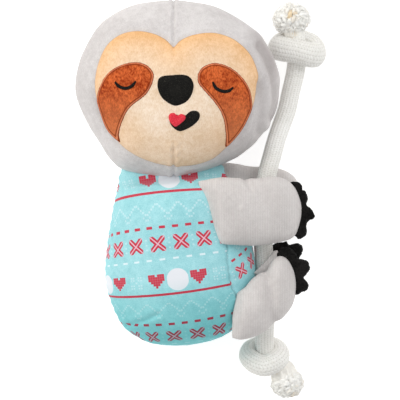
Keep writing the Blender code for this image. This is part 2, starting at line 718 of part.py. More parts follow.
def makeRope():
    """The stretches between the knots. A point near either end keeps facing ends parallel."""
    route = spread(smoothLoop([Vector(p) for p in ropeRoute], 8, closed=False), ROPE_SAMPLES, closed=False)
    upperJoin = sum(point.y > UPPER_JOIN_Y for point in route)
    lowerJoin = sum(point.y > LOWER_JOIN_Y for point in route)
    parts = {
        "rope_upper_stretch": route[: upperJoin + 1],
        "rope_middle_stretch": route[upperJoin : lowerJoin + 1],
        "rope_lower_stretch": route[lowerJoin:],
    }
    for name, points in parts.items():
        length = sum((b - a).length for a, b in zip(points, points[1:]))
        count = max(3, round(length / (2 * ROPE_DIAMETER)) + 1)
        first, *between, last = spread(points, count, closed=False)
        starts = (points[1] - points[0]).normalized()
        ends = (points[-1] - points[-2]).normalized()
        near = ropeEndShare * ROPE_DIAMETER
        line = [first + starts * (GAP / 2), first + starts * near]
        line += [*between, last - ends * near, last - ends * (GAP / 2)]
        ropeStretch(name, line)
        print(name, "length %.1f mm" % (1000 * length))


clearScene()
materials = makeMaterials()
headForms = {}
torsoClear = torsoForm("torso_clear", GAP)
makeTorso()
makeHead()
for limbName, limbSizes in limbs.items():
    makeLimb(limbName, limbSizes)
makeKnots(floorBox("floor"))
makeRope()
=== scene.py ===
import math
from functools import partial

import bmesh
import bpy
import numpy as np
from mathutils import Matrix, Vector, noise
from mathutils.geometry import delaunay_2d_cdt


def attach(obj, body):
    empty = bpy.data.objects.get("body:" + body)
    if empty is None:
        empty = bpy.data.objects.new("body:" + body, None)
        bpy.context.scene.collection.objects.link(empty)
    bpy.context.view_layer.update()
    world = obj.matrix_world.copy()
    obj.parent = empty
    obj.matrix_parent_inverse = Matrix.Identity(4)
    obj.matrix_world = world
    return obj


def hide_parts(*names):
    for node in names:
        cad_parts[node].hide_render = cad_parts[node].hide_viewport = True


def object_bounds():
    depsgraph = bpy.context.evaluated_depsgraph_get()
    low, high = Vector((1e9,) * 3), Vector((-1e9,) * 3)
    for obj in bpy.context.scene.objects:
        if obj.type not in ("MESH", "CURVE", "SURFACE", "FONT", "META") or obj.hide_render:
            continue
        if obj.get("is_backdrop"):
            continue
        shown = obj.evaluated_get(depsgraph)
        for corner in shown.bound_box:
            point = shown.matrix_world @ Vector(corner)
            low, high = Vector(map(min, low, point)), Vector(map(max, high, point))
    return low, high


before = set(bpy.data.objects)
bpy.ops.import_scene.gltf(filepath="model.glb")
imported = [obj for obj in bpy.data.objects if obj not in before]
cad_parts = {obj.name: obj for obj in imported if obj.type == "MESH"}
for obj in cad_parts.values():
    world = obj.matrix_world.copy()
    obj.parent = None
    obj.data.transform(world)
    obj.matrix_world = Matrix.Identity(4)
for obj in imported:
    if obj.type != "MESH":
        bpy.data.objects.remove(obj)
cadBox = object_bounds()
mm = 0.001
scatter = np.random.default_rng(11)
up = np.array((0.0, 0.0, 1.0))


def smoothPoints(points, steps, closed=True):  # a Catmull-Rom line, with so many steps between two points
    points = np.asarray(points, float)
    count = len(points)
    spans = count if closed else count - 1
    found = []
    for i in range(spans):
        if closed:
            a, b, c, d = (points[(i + k) % count] for k in (-1, 0, 1, 2))
        else:
            a, b, c, d = (points[min(max(i + k, 0), count - 1)] for k in (-1, 0, 1, 2))
        for step in range(steps):
            t = step / steps
            cubic = (2 * a - 5 * b + 4 * c - d) * t**2 + (3 * b - a - 3 * c + d) * t**3
            found.append(0.5 * (2 * b + (c - a) * t + cubic))
    if not closed:
        found.append(points[-1])
    return np.array(found)


def runLength(points):  # how far along the line each point is
    steps = np.linalg.norm(np.diff(points, axis=0), axis=1)
    return np.concatenate([[0.0], np.cumsum(steps)])


def evenPoints(points, spacing, closed=False):  # the same line with its points evenly apart
    line = np.vstack([points, points[:1]]) if closed else points
    lengths = runLength(line)
    count = max(int(round(lengths[-1] / spacing)), 4)
    places = np.linspace(0, lengths[-1], count + 1)
    if closed:
        places = places[:-1]
    return np.stack([np.interp(places, lengths, line[:, k]) for k in range(line.shape[1])], axis=1)


def lineDistance(places, line, closed=False):  # in plan, from each place to a line of points
    places = np.asarray(places)[:, :2]
    line = np.asarray(line)[:, :2]
    starts = line if closed else line[:-1]
    ends = np.roll(line, -1, axis=0) if closed else line[1:]
    nearest = np.full(len(places), 1e9)
    for a, b in zip(starts, ends):
        run = b - a
        share = np.clip((places - a) @ run / max(run @ run, 1e-18), 0, 1)
        nearest = np.minimum(nearest, np.linalg.norm(places - a - share[:, None] * run, axis=1))
    return nearest


def insideLine(places, line):  # which places lie inside a closed line, in plan
    found = np.zeros(len(places), bool)
    x, y = places[:, 0], places[:, 1]
    for (ax, ay), (bx, by) in zip(line[:, :2], np.roll(line, -1, axis=0)[:, :2]):
        crosses = (ay > y) != (by > y)
        with np.errstate(divide="ignore", invalid="ignore"):
            where = ax + (y - ay) / (by - ay) * (bx - ax)
        found ^= crosses & (x < where)
    return found


def unit(vectors):  # the same directions at length 1
    return vectors / np.maximum(np.linalg.norm(vectors, axis=-1, keepdims=True), 1e-9)


def fade(away, width):  # 1 at 0, and soft down to nothing at about twice the width
    return np.exp(-(away / width) ** 2)


def ramp(value, start, length):  # from 0 up to 1 over the length
    return np.clip((value - start) / length, 0, 1)


def circle(count, start=0.0):  # so many angles round a full turn
    return start + np.arange(count) / count * math.tau


def lumps(points, size, seed=0.0):  # smooth noise from -1 to 1 at each point, with lumps of about this size
    shift = Vector((seed, seed * 1.7, seed * 0.6))
    return np.array([noise.noise(Vector(p) / size + shift) for p in points])


# a smooth mesh whose faces look away from the centre, with values or vectors kept at its points
def meshPiece(name, points, faces, centre=None, values=None):
    mesh = bpy.data.meshes.new(name)
    mesh.from_pydata(np.asarray(points).tolist(), [], faces)
    mesh.update()
    if centre is not None:
        count = len(mesh.polygons)
        normals, middles, areas = np.empty(count * 3), np.empty(count * 3), np.empty(count)
        mesh.polygons.foreach_get("normal", normals)
        mesh.polygons.foreach_get("center", middles)
        mesh.polygons.foreach_get("area", areas)
        away = middles.reshape(-1, 3) - np.asarray(centre)
        if ((normals.reshape(-1, 3) * away).sum(axis=1) * areas).sum() < 0:
            mesh.flip_normals()
    for key, data in (values or {}).items():
        data = np.asarray(data, np.float32)
        vector = data.ndim == 2
        layer = mesh.attributes.new(key, "FLOAT_VECTOR" if vector else "FLOAT", "POINT")
        layer.data.foreach_set("vector" if vector else "value", data.ravel())
    mesh.shade_smooth()
    obj = bpy.data.objects.new(name, mesh)
    bpy.context.scene.collection.objects.link(obj)
    return obj


def gridFaces(rows, columns, wrap=False):  # squares between rows of points
    across = columns if wrap else columns - 1
    faces = []
    for i in range(rows - 1):
        for j in range(across):
            k = (j + 1) % columns
            faces.append((i * columns + j, i * columns + k, (i + 1) * columns + k, (i + 1) * columns + j))
    return faces


def poleFaces(pole, first, columns):  # triangles from one point to a ring
    return [(pole, first + j, first + (j + 1) % columns) for j in range(columns)]


def tubeFaces(rows, columns):  # rings closed into a tube, whose two end points come after them
    ends = rows * columns
    first, last = poleFaces(ends, 0, columns), poleFaces(ends + 1, ends - columns, columns)
    return gridFaces(rows, columns, wrap=True) + first + last


def reshape(piece, change):  # lets a function change the piece's faces
    shape = bmesh.new()
    shape.from_mesh(piece.data)
    change(shape)
    shape.to_mesh(piece.data)
    shape.free()
    return piece


def faceOut(shape):
    bmesh.ops.recalc_face_normals(shape, faces=shape.faces)


def outward(piece):  # turns every face of a closed piece to look out of it
    return reshape(piece, faceOut)


def joinTo(piece, other):  # the other piece becomes a part of this one
    reshape(piece, lambda shape: shape.from_mesh(other.data))
    bpy.data.objects.remove(other)
    return piece


def tubeFrames(path, side, closed=False):  # along the path, and two ways across it that don't twist
    if closed:
        along = np.roll(path, -1, axis=0) - np.roll(path, 1, axis=0)
    else:
        along = np.gradient(path, axis=0)
    along = unit(along)
    sides = []
    for direction in along:
        side = unit(side - direction * (side @ direction))
        sides.append(side)
    sides = np.array(sides)
    return along, sides, np.cross(along, sides)


def dropInside(piece, depth):  # takes away what is deeper than this inside the torso, where nothing shows
    def drop(shape):
        hidden = torsoDepth([tuple(vert.co) for vert in shape.verts]) > depth
        doomed = [vert for vert, inside in zip(shape.verts, hidden) if inside]
        bmesh.ops.delete(shape, geom=doomed, context="VERTS")
    return reshape(piece, drop)


def dress(piece, material, body, nodes):  # nodes: the solids that the piece stands for
    piece.data.materials.append(material)
    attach(piece, body)
    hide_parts(*nodes)
    return piece


def hexLinear(code):  # an sRGB hex value as linear colour
    found = []
    for k in (0, 2, 4):
        value = int(code[k:k + 2], 16) / 255
        found.append(value / 12.92 if value <= 0.04045 else ((value + 0.055) / 1.055) ** 2.4)
    return (*found, 1.0)


# adds a node; values are its open inputs in order, or one dictionary of them by name
def addNode(tree, kind, *values, **settings):
    kind, _, choice = kind.partition(" ")  # such as "Math ADD" or "Mix RGBA"
    node = tree.nodes.new("ShaderNode" + kind)
    if choice:
        setattr(node, "data_type" if kind == "Mix" else "operation", choice)
    for name, value in settings.items():
        setattr(node, name, value)
    if values and isinstance(values[0], dict):
        pairs = [(node.inputs[name], value) for name, value in values[0].items()]
    else:
        pairs = zip([socket for socket in node.inputs if socket.enabled], values)
    for socket, value in pairs:
        if isinstance(value, bpy.types.Node):
            value = next(output for output in value.outputs if output.enabled)
        if isinstance(value, bpy.types.NodeSocket):
            tree.links.new(value, socket)
        else:
            socket.default_value = value
    return node


def allOf(add, first, *others):  # 1 where every mask is 1
    for mask in others:
        first = add("Math MULTIPLY", first, mask)
    return first


def anyOf(add, first, *others):  # 1 where one of the masks is 1
    for mask in others:
        first = add("Math MAXIMUM", first, mask)
    return first


def weaveOf(add):  # the three values of the weave that the mesh keeps at its points
    return add("SeparateXYZ", add("Attribute", attribute_name="weave").outputs["Vector"]).outputs


def tint(add, colour, code, mask, cover=1.0):  # another colour laid over it where the mask is 1
    return add("Mix RGBA", add("Math MULTIPLY", mask, cover), colour, hexLinear(code))


# cloth or pile: two close colours in broad and fine patches, fine bumps and a sheen
def fabric(name, look, paint=None):
    material = bpy.data.materials.new(name)
    material.use_nodes = True
    material.node_tree.nodes.clear()
    add = partial(addNode, material.node_tree)
    place = add("TexCoord").outputs["Object"]
    laid = add("Mapping", {"Vector": place, "Scale": (1.0, look.get("lie", 1.0), 1.0)})
    height = add("TexNoise", {"Vector": laid, "Scale": 1 / look["pile"], "Detail": 3.0, "Roughness": 0.65})
    middle = add("TexNoise", {"Vector": place, "Scale": 1 / look["tuft"], "Detail": 2.0})
    broad = add("TexNoise", {"Vector": place, "Scale": 1 / look["patch"], "Detail": 2.0})
    spread = add("Math MULTIPLY_ADD", middle, 0.25, add("Math MULTIPLY", height, 0.45))
    spread = add("Math MULTIPLY_ADD", broad, 0.3, spread)
    share = add("MapRange", spread, 0.40, 0.60)
    colour = add("Mix RGBA", share, hexLinear(look["dark"]), hexLinear(look["light"]))
    if paint:
        colour, height = paint(add, colour, height)
    bump = add("Bump", {"Height": height, "Strength": look["bump"], "Distance": look["depth"]})
    shader = add("BsdfPrincipled", {
        "Base Color": colour, "Roughness": look["rough"], "Normal": bump, "IOR": 1.5,
        "Specular IOR Level": look["gloss"], "Sheen Weight": look["sheen"], "Sheen Roughness": 0.5,
        "Sheen Tint": hexLinear(look["light"]),
    })
    add("OutputMaterial", shader)
    return material


# Camera, light and floor
view = {"width": 248 * mm, "away": 6.0, "middle": (13.02 * mm, 34.1 * mm, 35 * mm)}  # width of 400 pixels
lights = {  # in metres and watts
    "key": {"place": (-1.5, 0.55, 1.0), "aim": (0.02, 0.03, 0.03), "size": 1.2, "power": 17,
            "colour": "FFFDF8"},
    "fill": {"place": (0.8, -0.9, 1.9), "aim": (0.02, 0.03, 0.03), "size": 1.6, "power": 2.6,
             "colour": "F6FAFF"},
    "side": {"place": (1.05, 1.25, 1.05), "aim": (0.06, 0.06, 0.02), "size": 1.0, "power": 11,
             "colour": "FFFFFF"},
}
sky = {"low": 0.24, "high": 0.90}  # brighter overhead than at the sides
floorHalf = 2.5
floorGlow = 0.62
floorLook = {"dark": "CFCFCE", "light": "D4D4D3", "pile": 3 * mm, "tuft": 20 * mm, "patch": 200 * mm,
             "bump": 0.05, "depth": 0.05 * mm, "rough": 0.75, "gloss": 0.2, "sheen": 0.0}


def makeCamera():
    data = bpy.data.cameras.new("camera")
    data.sensor_width = 36
    data.lens = data.sensor_width * view["away"] / view["width"]
    camera = bpy.data.objects.new("camera", data)
    camera.location = Vector(view["middle"]) + Vector((0, 0, view["away"]))
    bpy.context.scene.collection.objects.link(camera)
    bpy.context.scene.camera = camera


def makeLight(name, light):
    data = bpy.data.lights.new(name, "AREA")
    data.shape = "DISK"
    data.size = light["size"]
    data.energy = light["power"]
    data.color = hexLinear(light["colour"])[:3]
    lamp = bpy.data.objects.new(name, data)
    lamp.location = light["place"]
    lamp.rotation_euler = (Vector(light["aim"]) - lamp.location).to_track_quat("-Z", "Y").to_euler()
    bpy.context.scene.collection.objects.link(lamp)


def makeStudio():
    bpy.context.scene.view_settings.view_transform = "Standard"
    world = bpy.data.worlds.new("studio")
    world.use_nodes = True
    add = partial(addNode, world.node_tree)
    rise = add("SeparateXYZ", add("TexCoord").outputs["Generated"]).outputs["Z"]
    power = add("MapRange", {"Value": rise, "To Min": sky["low"], "To Max": sky["high"]})
    background = world.node_tree.nodes["Background"]
    background.inputs["Color"].default_value = hexLinear("FFFFFF")
    world.node_tree.links.new(power.outputs["Result"], background.inputs["Strength"])
    bpy.context.scene.world = world
    for name, light in lights.items():
        makeLight(name, light)
    corners = [(x * floorHalf, y * floorHalf, 0) for x, y in ((-1, -1), (1, -1), (1, 1), (-1, 1))]
    floor = meshPiece("floor", corners, [(0, 1, 2, 3)], -up)
    paper = fabric("pale studio paper", floorLook)  # even and matt, with a little glow
    shader = next(node for node in paper.node_tree.nodes if node.type == "BSDF_PRINCIPLED")
    shader.inputs["Emission Color"].default_value = hexLinear("FFFFFF")
    shader.inputs["Emission Strength"].default_value = floorGlow
    floor.data.materials.append(paper)
    floor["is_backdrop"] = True


makeCamera()
makeStudio()
print("camera, light and floor")

# Rope: its route down the far side of the toy, through the paws
ropeRadius = 5.9 * mm
ropeRoute = [
    (0.0719, 0.111, 0.013), (0.0694, 0.1004, 0.0145), (0.067, 0.0899, 0.0175), (0.0639, 0.0812, 0.021),
    (0.0608, 0.0725, 0.025), (0.0577, 0.0614, 0.029), (0.0546, 0.0496, 0.0313), (0.0527, 0.0341, 0.0315),
    (0.052, 0.0186, 0.0315), (0.0523, 0.0056, 0.0315), (0.0534, -0.0093, 0.0315), (0.0542, -0.023, 0.0312),
    (0.0539, -0.0335, 0.0292), (0.0534, -0.042, 0.0245), (0.0531, -0.0477, 0.0205),
]
braid = {"columns": 18, "stitch": 1.45 * mm, "depth": 0.42 * mm, "slant": 0.8, "lowBeside": 0.28,
         "lowBetween": 0.2, "sides": 108, "spacing": 0.38 * mm}
ropeLook = {"dark": "E8E6E0", "light": "FAF9F6", "pile": 0.5 * mm, "tuft": 2 * mm, "patch": 20 * mm,
            "bump": 0.3, "depth": 0.2 * mm, "rough": 0.8, "gloss": 0.25, "sheen": 0.3}


def ropePaint(add, colour, height):  # painted shade: darker between the stitches; fine yarn along each
    weave = weaveOf(add)
    gap = add("Mix RGBA", add("MapRange", weave[2], 0.0, 0.5), hexLinear("C6C3BB"), colour)
    threads = add("Math SINE", add("Math MULTIPLY", weave[0], 28.0))
    lines = add("Math MULTIPLY_ADD", threads, 0.3, height)
    return gap, add("Math MULTIPLY_ADD", weave[2], 0.6, lines)


ropeCotton = fabric("braided cotton rope", ropeLook, ropePaint)  # matt white yarn, with painted shade grey in the gaps


def braidTube(name, path, radius, closed=False, wide=None):  # V stitches stand out of the tube
    _, sides, ups = tubeFrames(path, up, closed)
    if wide is not None:
        ups = ups * wide[:, None]
    line = np.vstack([path, path[:1]]) if closed else path
    lengths = runLength(line)
    total = lengths[-1]
    lengths = lengths[:len(path)]
    stitches = max(round(total / braid["stitch"]), 1)
    angles = circle(braid["sides"])
    column = angles / math.tau * braid["columns"]
    across = column - np.floor(column) - 0.5
    slant = np.where(np.floor(column) % 2 == 0, 1.0, -1.0) * across
    row = lengths[:, None] / total * stitches + braid["slant"] * slant[None, :]
    low, flat = braid["lowBeside"], braid["lowBetween"]  # how high the yarn stays at a stitch's side and end
    lobe = np.cos(math.pi * across)[None, :] ** 0.35 * (1 - low) + low
    ridge = lobe * ((0.5 + 0.5 * np.cos(math.tau * row)) ** 0.6 * (1 - flat) + flat)
    distance = radius - braid["depth"] * (1 - ridge)
    ring = np.cos(angles)[None, :, None] * sides[:, None, :] + np.sin(angles)[None, :, None] * ups[:, None, :]
    points = (path[:, None, :] + ring * distance[:, :, None]).reshape(-1, 3)
    weave = np.stack([np.broadcast_to(column, ridge.shape), row, ridge], axis=2).reshape(-1, 3)
    rows, columns = ridge.shape
    if closed:
        last = (rows - 1) * columns
        faces = gridFaces(rows, columns, wrap=True)
        faces += [(last + j, last + (j + 1) % columns, (j + 1) % columns, j) for j in range(columns)]
    else:
        points = np.vstack([points, path[0], path[-1]])
        weave = np.vstack([weave, weave[0], weave[-1]])
        faces = tubeFaces(rows, columns)
    points[:, 2] = np.maximum(points[:, 2], 0)
    return outward(meshPiece(name, points, faces, None, {"weave": weave}))


knots = {  # in mm: the rope's way through each knot, and the turn round it with the band's half height
    "upper_knot": {
        "core": [(71.9, 111.0, 13.0), (73.3, 120.0, 12.6), (73.5, 127.0, 13.0),
                 (72.5, 133.5, 13.3), (71.6, 137.5, 13.0)],
        "turn": [(73.8, 126.2, 21.0, 7.6), (64.5, 128.0, 18.6, 7.8), (61.1, 129.6, 12.6, 7.8),
                 (64.5, 132.8, 8.0, 7.2), (74.4, 134.2, 7.2, 7.0), (83.1, 131.2, 8.0, 7.4),
                 (85.9, 125.6, 12.6, 8.0), (82.4, 124.3, 18.4, 8.0)],
    },
    "lower_knot": {
        "core": [(53.1, -47.7, 20.5), (53.2, -56.0, 15.5), (54.5, -62.5, 13.5),
                 (59.7, -67.6, 12.5), (62.5, -70.8, 12.1), (64.4, -73.3, 11.8), (65.6, -75.4, 11.5)],
        "turn": [(53.0, -68.8, 21.0, 6.8), (46.2, -66.4, 19.0, 6.6), (43.0, -62.2, 13.0, 6.2),
                 (45.8, -57.8, 7.4, 6.0), (53.0, -56.2, 6.2, 6.0), (60.2, -57.6, 7.6, 6.0),
                 (63.0, -61.8, 13.0, 6.3), (60.0, -66.2, 19.0, 6.8)],
    },
}
band = {"thickness": 5.7 * mm, "loosening": 0.12, "looseLength": 7 * mm}  # the core is looser at its far end


def makeKnot(name, knot):
    turn = evenPoints(smoothPoints(knot["turn"], 12) * mm, braid["spacing"], closed=True)
    core = evenPoints(smoothPoints(knot["core"], 12, closed=False) * mm, braid["spacing"])
    first = braidTube(name + "_turn", turn[:, :3], band["thickness"], True, turn[:, 3] / band["thickness"])
    run = runLength(core)
    loose = 1 + band["loosening"] * ramp(run, run[-1] - band["looseLength"], band["looseLength"])[:, None]
    second = braidTube(name + "_core", core, ropeRadius * loose)
    return dress(joinTo(first, second), ropeCotton, "torso", [name])


tufts = {  # in mm: locks of yarn from the start out to a ball round the middle
    "upper_frayed_end": {
        "start": (71.4, 134.5, 14.0), "middle": (69.9, 146.8, 14.0), "radii": (11.2, 9.8, 11.0), "neck": 4.8,
        "forward": (0.0, 0.34, 0.94), "spread": 0.9, "locks": 150, "strands": 260,
        "bell": 0.0, "straw": 1.0,
    },
    "lower_frayed_end": {
        "start": (63.0, -67.6, 12.2), "middle": (67.2, -79.5, 10.5), "radii": (9.7, 8.8, 8.5), "neck": 5.5,
        "forward": (0.4, -0.86, 0.32), "spread": 0.25, "locks": 150, "strands": 220,
        "bell": 1.0, "straw": 0.4,
    },
}
lockYarn = {"reach": (0.80, 0.98), "curl": 1.7 * mm, "width": (1.0 * mm, 1.5 * mm)}
strandYarn = {"reach": (0.95, 1.12), "curl": 1.2 * mm, "width": (0.16 * mm, 0.26 * mm)}  # these stick out
goldenAngle = 2.39996  # spreads the locks evenly round the ball
tuftLook = {"dark": "F7F6F2", "light": "FEFEFC", "pile": 0.35 * mm, "tuft": 1.4 * mm, "patch": 6 * mm,
            "bump": 0.35, "depth": 0.12 * mm, "rough": 0.95, "gloss": 0.1, "sheen": 0.5}


def tuftPaint(add, colour, height):  # cream deep in the tuft and straw at its core
    tip = add("Attribute", attribute_name="tip").outputs["Fac"]
    heart = add("Attribute", attribute_name="heart").outputs["Fac"]
    colour = add("Mix RGBA", add("MapRange", tip, 0.2, 0.8), hexLinear("FAF7F0"), colour)
    return tint(add, colour, "EBD2A8", heart), height


frayedCotton = fabric("frayed cotton yarn", tuftLook, tuftPaint)  # loose curly yarn, cream inside


def makeTuft(name, tuft):
    start, middle, radii = (np.array(tuft[key]) * mm for key in ("start", "middle", "radii"))
    neck = tuft["neck"] * mm
    forward = unit(np.array(tuft["forward"]))
    side = unit(np.cross(forward, (1.0, 0.2, 0.1)))
    other = np.cross(forward, side)
    trunk = unit(middle - start)
    halfway = start + (middle - start) * 0.55
    points, faces, tips, hearts = [], [], [], []
    sides = 6
    for i in range(tuft["locks"] + tuft["strands"]):
        lock = i < tuft["locks"]
        yarn = lockYarn if lock else strandYarn
        share = (i + 0.5) / tuft["locks"] if lock else scatter.uniform(0, 1)
        lift = 1 - share * (1 + tuft["spread"])
        angle = i * goldenAngle
        flat = math.sqrt(max(1 - lift * lift, 0))
        away = forward * lift + side * (flat * math.cos(angle)) + other * (flat * math.sin(angle))
        reach = radii * scatter.uniform(*yarn["reach"])
        ring = away - trunk * (away @ trunk)
        tangent = unit(np.cross(away, scatter.normal(0, 1, 3)))
        curl = yarn["curl"]
        opened = halfway + ring * (0.35 * neck + 0.6 * reach)
        inner = middle + away * reach * 0.5
        route = [start + ring * (neck * 0.7), start + trunk * 2 * mm + ring * neck,
                 inner + (opened - inner) * tuft["bell"], middle + away * reach * 0.82 - tangent * curl * 0.5,
                 middle + away * reach, middle + away * reach * 0.97 + tangent * curl,
                 middle + away * (reach - 1.9 * mm) + tangent * curl * 1.5,
                 middle + away * (reach - 2.6 * mm) + tangent * curl * 0.7]
        route = smoothPoints(route, 2, closed=False)
        route[:, 2] = np.maximum(route[:, 2], 0.9 * mm)
        _, across, over = tubeFrames(route, away + 0.01 * up)
        thick = scatter.uniform(*yarn["width"])
        heart = tuft["straw"] * math.exp(-((1 - lift) / 0.05) ** 2) if lock else 0.0
        if i % 9 == 3:  # a few are straw all along
            heart = 0.14
        base, count = len(points), len(route)
        for k, centre in enumerate(route):
            share = k / (count - 1)
            width = thick * (0.7 + 0.5 * math.sin(math.pi * min(share * 0.8 + 0.1, 1)) - 0.55 * share**5)
            for j in range(sides):
                turn = j / sides * math.tau + k * 0.5
                uneven = width * (1.18 if j % 2 else 0.88)
                points.append(centre + uneven * (across[k] * math.cos(turn) + over[k] * math.sin(turn)))
                tips.append(share)
                hearts.append(heart)
        points.append(route[-1])
        tips.append(1.0)
        hearts.append(heart)
        faces += [tuple(base + v for v in face) for face in gridFaces(count, sides, wrap=True)]
        faces += poleFaces(base + count * sides, base + (count - 1) * sides, sides)
    points = np.array(points)
    points[:, 2] = np.maximum(points[:, 2], 0.0)
    values = {"tip": np.array(tips), "heart": np.array(hearts)}
    piece = outward(meshPiece(name + "_yarn", points, faces, None, values))
    return dress(piece, frayedCotton, "torso", [name])


ropePath = evenPoints(smoothPoints(ropeRoute, 12, closed=False), braid["spacing"])
rope = braidTube("rope", ropePath, ropeRadius)
dress(rope, ropeCotton, "torso",
      ["rope_upper_stretch", "rope_middle_stretch", "rope_lower_stretch"])
ropeEnds = [makeKnot(name, knot) for name, knot in knots.items()]
ropeEnds += [makeTuft(name, tuft) for name, tuft in tufts.items()]


# Torso: the printed cover in a front, a back and a side panel
torso = {
    "length": 108.5 * mm, "belowOrigin": 56.4 * mm, "halfWidth": 46.5 * mm, "halfDepth": 33.5 * mm,
    "middle": 33.0 * mm, "tilt": math.radians(5.3), "ovalPower": 2.1,
    "puckers": 0.28 * mm, "groove": 0.75 * mm, "grooveWidth": 1.1 * mm,
    "bumps": 0.75 * mm, "ripples": 0.25 * mm,
    "dart": [(-32.2, -43.4), (-22.5, -40.9), (-12.4, -36.6)],  # its line on the belly, in mm
    "sideSeam": [  # how far out it runs at each height, in mm
        (-40, 37.6), (-27, 36.8), (-24, 35.3), (-21, 33.5), (-17, 32.2), (-11, 31.2), (-3, 30.2),
    ],
    "shares": [  # share along, share of the width, share of the depth
        (0.0, 0.0, 0.0), (0.012, 0.28, 0.3), (0.034, 0.486, 0.52), (0.065, 0.62, 0.66), (0.12, 0.774, 0.8),
        (0.195, 0.886, 0.9), (0.28, 0.955, 0.97), (0.38, 1.0, 1.0), (0.5, 0.985, 1.0), (0.63, 0.933, 1.0),
        (0.78, 0.845, 0.98), (0.88, 0.775, 0.87), (0.925, 0.74, 0.7), (0.945, 0.73, 0.52),
        (0.965, 0.715, 0.41), (1.0, 0.7, 0.37), (1.06, 0.63, 0.33),
    ],
}
torsoAxis = np.array((-math.sin(torso["tilt"]), math.cos(torso["tilt"]), 0.0))
torsoSide = np.array((math.cos(torso["tilt"]), math.sin(torso["tilt"]), 0.0))
torsoBottom = up * torso["middle"] - torsoAxis * torso["belowOrigin"]
torsoRows = smoothPoints(torso["shares"], 12, closed=False)
torsoRows[0] = (0.0002, 0.02, 0.02)


def ovalShape(angle):  # a round that is a little squarer than an ellipse
    c, s = np.cos(angle), np.sin(angle)
    bend = (np.abs(c) ** torso["ovalPower"] + np.abs(s) ** torso["ovalPower"]) ** (-1 / torso["ovalPower"])
    return c * bend, s * bend


def torsoSurface(row, angle):  # row: share along, share of width, share of depth
    c, s = ovalShape(angle)
    centre = torsoBottom + torsoAxis * (torso["length"] * row[0])
    wide, deep = torsoSide * torso["halfWidth"] * row[1], up * torso["halfDepth"] * row[2]
    return centre + np.multiply.outer(c, wide) + np.multiply.outer(s, deep)


def torsoDepth(points):  # how deep a point is inside the torso, less than 0 outside
    away = np.asarray(points) - torsoBottom
    share = away @ torsoAxis / torso["length"]
    width = np.interp(share, torsoRows[:, 0], torsoRows[:, 1], left=0, right=0) * torso["halfWidth"]
    depth = np.interp(share, torsoRows[:, 0], torsoRows[:, 2], left=0, right=0) * torso["halfDepth"]
    width, depth = np.maximum(width, 1e-6), np.maximum(depth, 1e-6)
    across, rise = away @ torsoSide, away @ up
    power = torso["ovalPower"]
    size = (np.abs(across / width) ** power + np.abs(rise / depth) ** power) ** (1 / power)
    radius = np.hypot(across, rise) / np.maximum(size, 1e-6)
    return (1 - size) * radius


def seamAngle(row):  # where the ring passes the side seam, 0 where it stays short of it
    centre = torsoBottom + torsoAxis * (torso["length"] * row[0])
    seamX = np.interp(centre[1] + 2.9 * mm, *(np.array(torso["sideSeam"]).T * mm))
    reach = (seamX - centre[0]) / (torsoSide[0] * torso["halfWidth"] * row[1])
    if reach >= 1:
        return 0.0
    angles = np.linspace(0, math.pi / 2, 400)
    return float(np.interp(-reach, -ovalShape(angles)[0], angles))


def meridianLengths():  # along the middle of the front, 0 at the origin's level
    line = np.stack([torsoRows[:, 0] * torso["length"], torsoRows[:, 2] * torso["halfDepth"]], axis=1)
    lengths = runLength(line)
    return lengths - np.interp(torso["belowOrigin"] / torso["length"], torsoRows[:, 0], lengths)


torsoAlong = meridianLengths()


def girth(row, angles, middle):  # distance round the ring from the middle angle, positive to the right
    dense = np.linspace(middle - math.pi, middle + math.pi, 721)
    lengths = runLength(torsoSurface(row, dense))
    lengths -= np.interp(middle, dense, lengths)
    return -np.interp(angles, dense, lengths)


def torsoPanel(name, low, high, columns, middle, place, nodes, lumpSeed):
    points, weave = [], []
    edges = np.linspace(0, 1, columns)
    edges = 0.5 - 0.5 * np.cos(math.pi * edges) * (0.35 * np.abs(np.cos(math.pi * edges)) + 0.65)
    for row, along in zip(torsoRows, torsoAlong):
        a, b = low(row), high(row)
        if b - a < 0.03:
            continue
        angles = a + (b - a) * edges
        line = torsoSurface(row, angles)
        out = unit(line - (torsoBottom + torsoAxis * (torso["length"] * row[0])))
        run = girth(row, angles, middle)
        toEdge = np.minimum(np.abs(run - run[0]), np.abs(run - run[-1]))
        pucker = torso["puckers"] * np.sin(along / mm * 1.15) * fade(toEdge, 5 * mm)
        groove = torso["groove"] * fade(toEdge, torso["grooveWidth"])
        bumps = torso["bumps"] * lumps(line, 26 * mm, lumpSeed)
        bumps += torso["ripples"] * lumps(line, 9 * mm, lumpSeed + 3)
        bumps *= 1 - fade(toEdge, 3 * mm)  # so that two panels meet at their seam
        away = lineDistance(line, np.array(torso["dart"]) * mm)
        fold = 0.5 * mm * fade(away - 3 * mm, 2.2 * mm) - 1.1 * mm * fade(away, 1.2 * mm)
        dart = np.where(line[:, 2] > torso["middle"], fold, 0)
        line = line + out * (pucker - groove + bumps + dart)[:, None]
        points.append(line)
        u, v = place(run, along)
        weave.append(np.column_stack(np.broadcast_arrays(u / mm, v / mm, toEdge / mm)))
    rows = len(points)
    points, weave = np.vstack(points), np.vstack(weave)
    points[:, 2] = np.maximum(points[:, 2], 0.0)
    piece = meshPiece(name, points, gridFaces(rows, columns), up * torso["middle"], {"weave": weave})
    dress(piece, printedJersey, "torso", nodes)


def frontPlace(run, along):  # the print is level on the front, bowed a little and eased in at both ends
    slope = 0.0367
    bow = 0.11 * along * (run / (45 * mm)) ** 2
    high = np.where(run < 0, ramp(along, 8 * mm, 14 * mm), ramp(along, 30 * mm, 14 * mm))
    level = along - run * slope + bow + 0.06 * run * high
    upper = 3.0 * mm * ramp(level, 20 * mm, 18 * mm)
    lower = 1.5 * mm * fade(level + 31.5 * mm, 6 * mm)
    found = level - upper - lower
    found = np.where(found > 38 * mm, 38 * mm + (found - 38 * mm) * 0.62, found)
    return run + along * slope, found


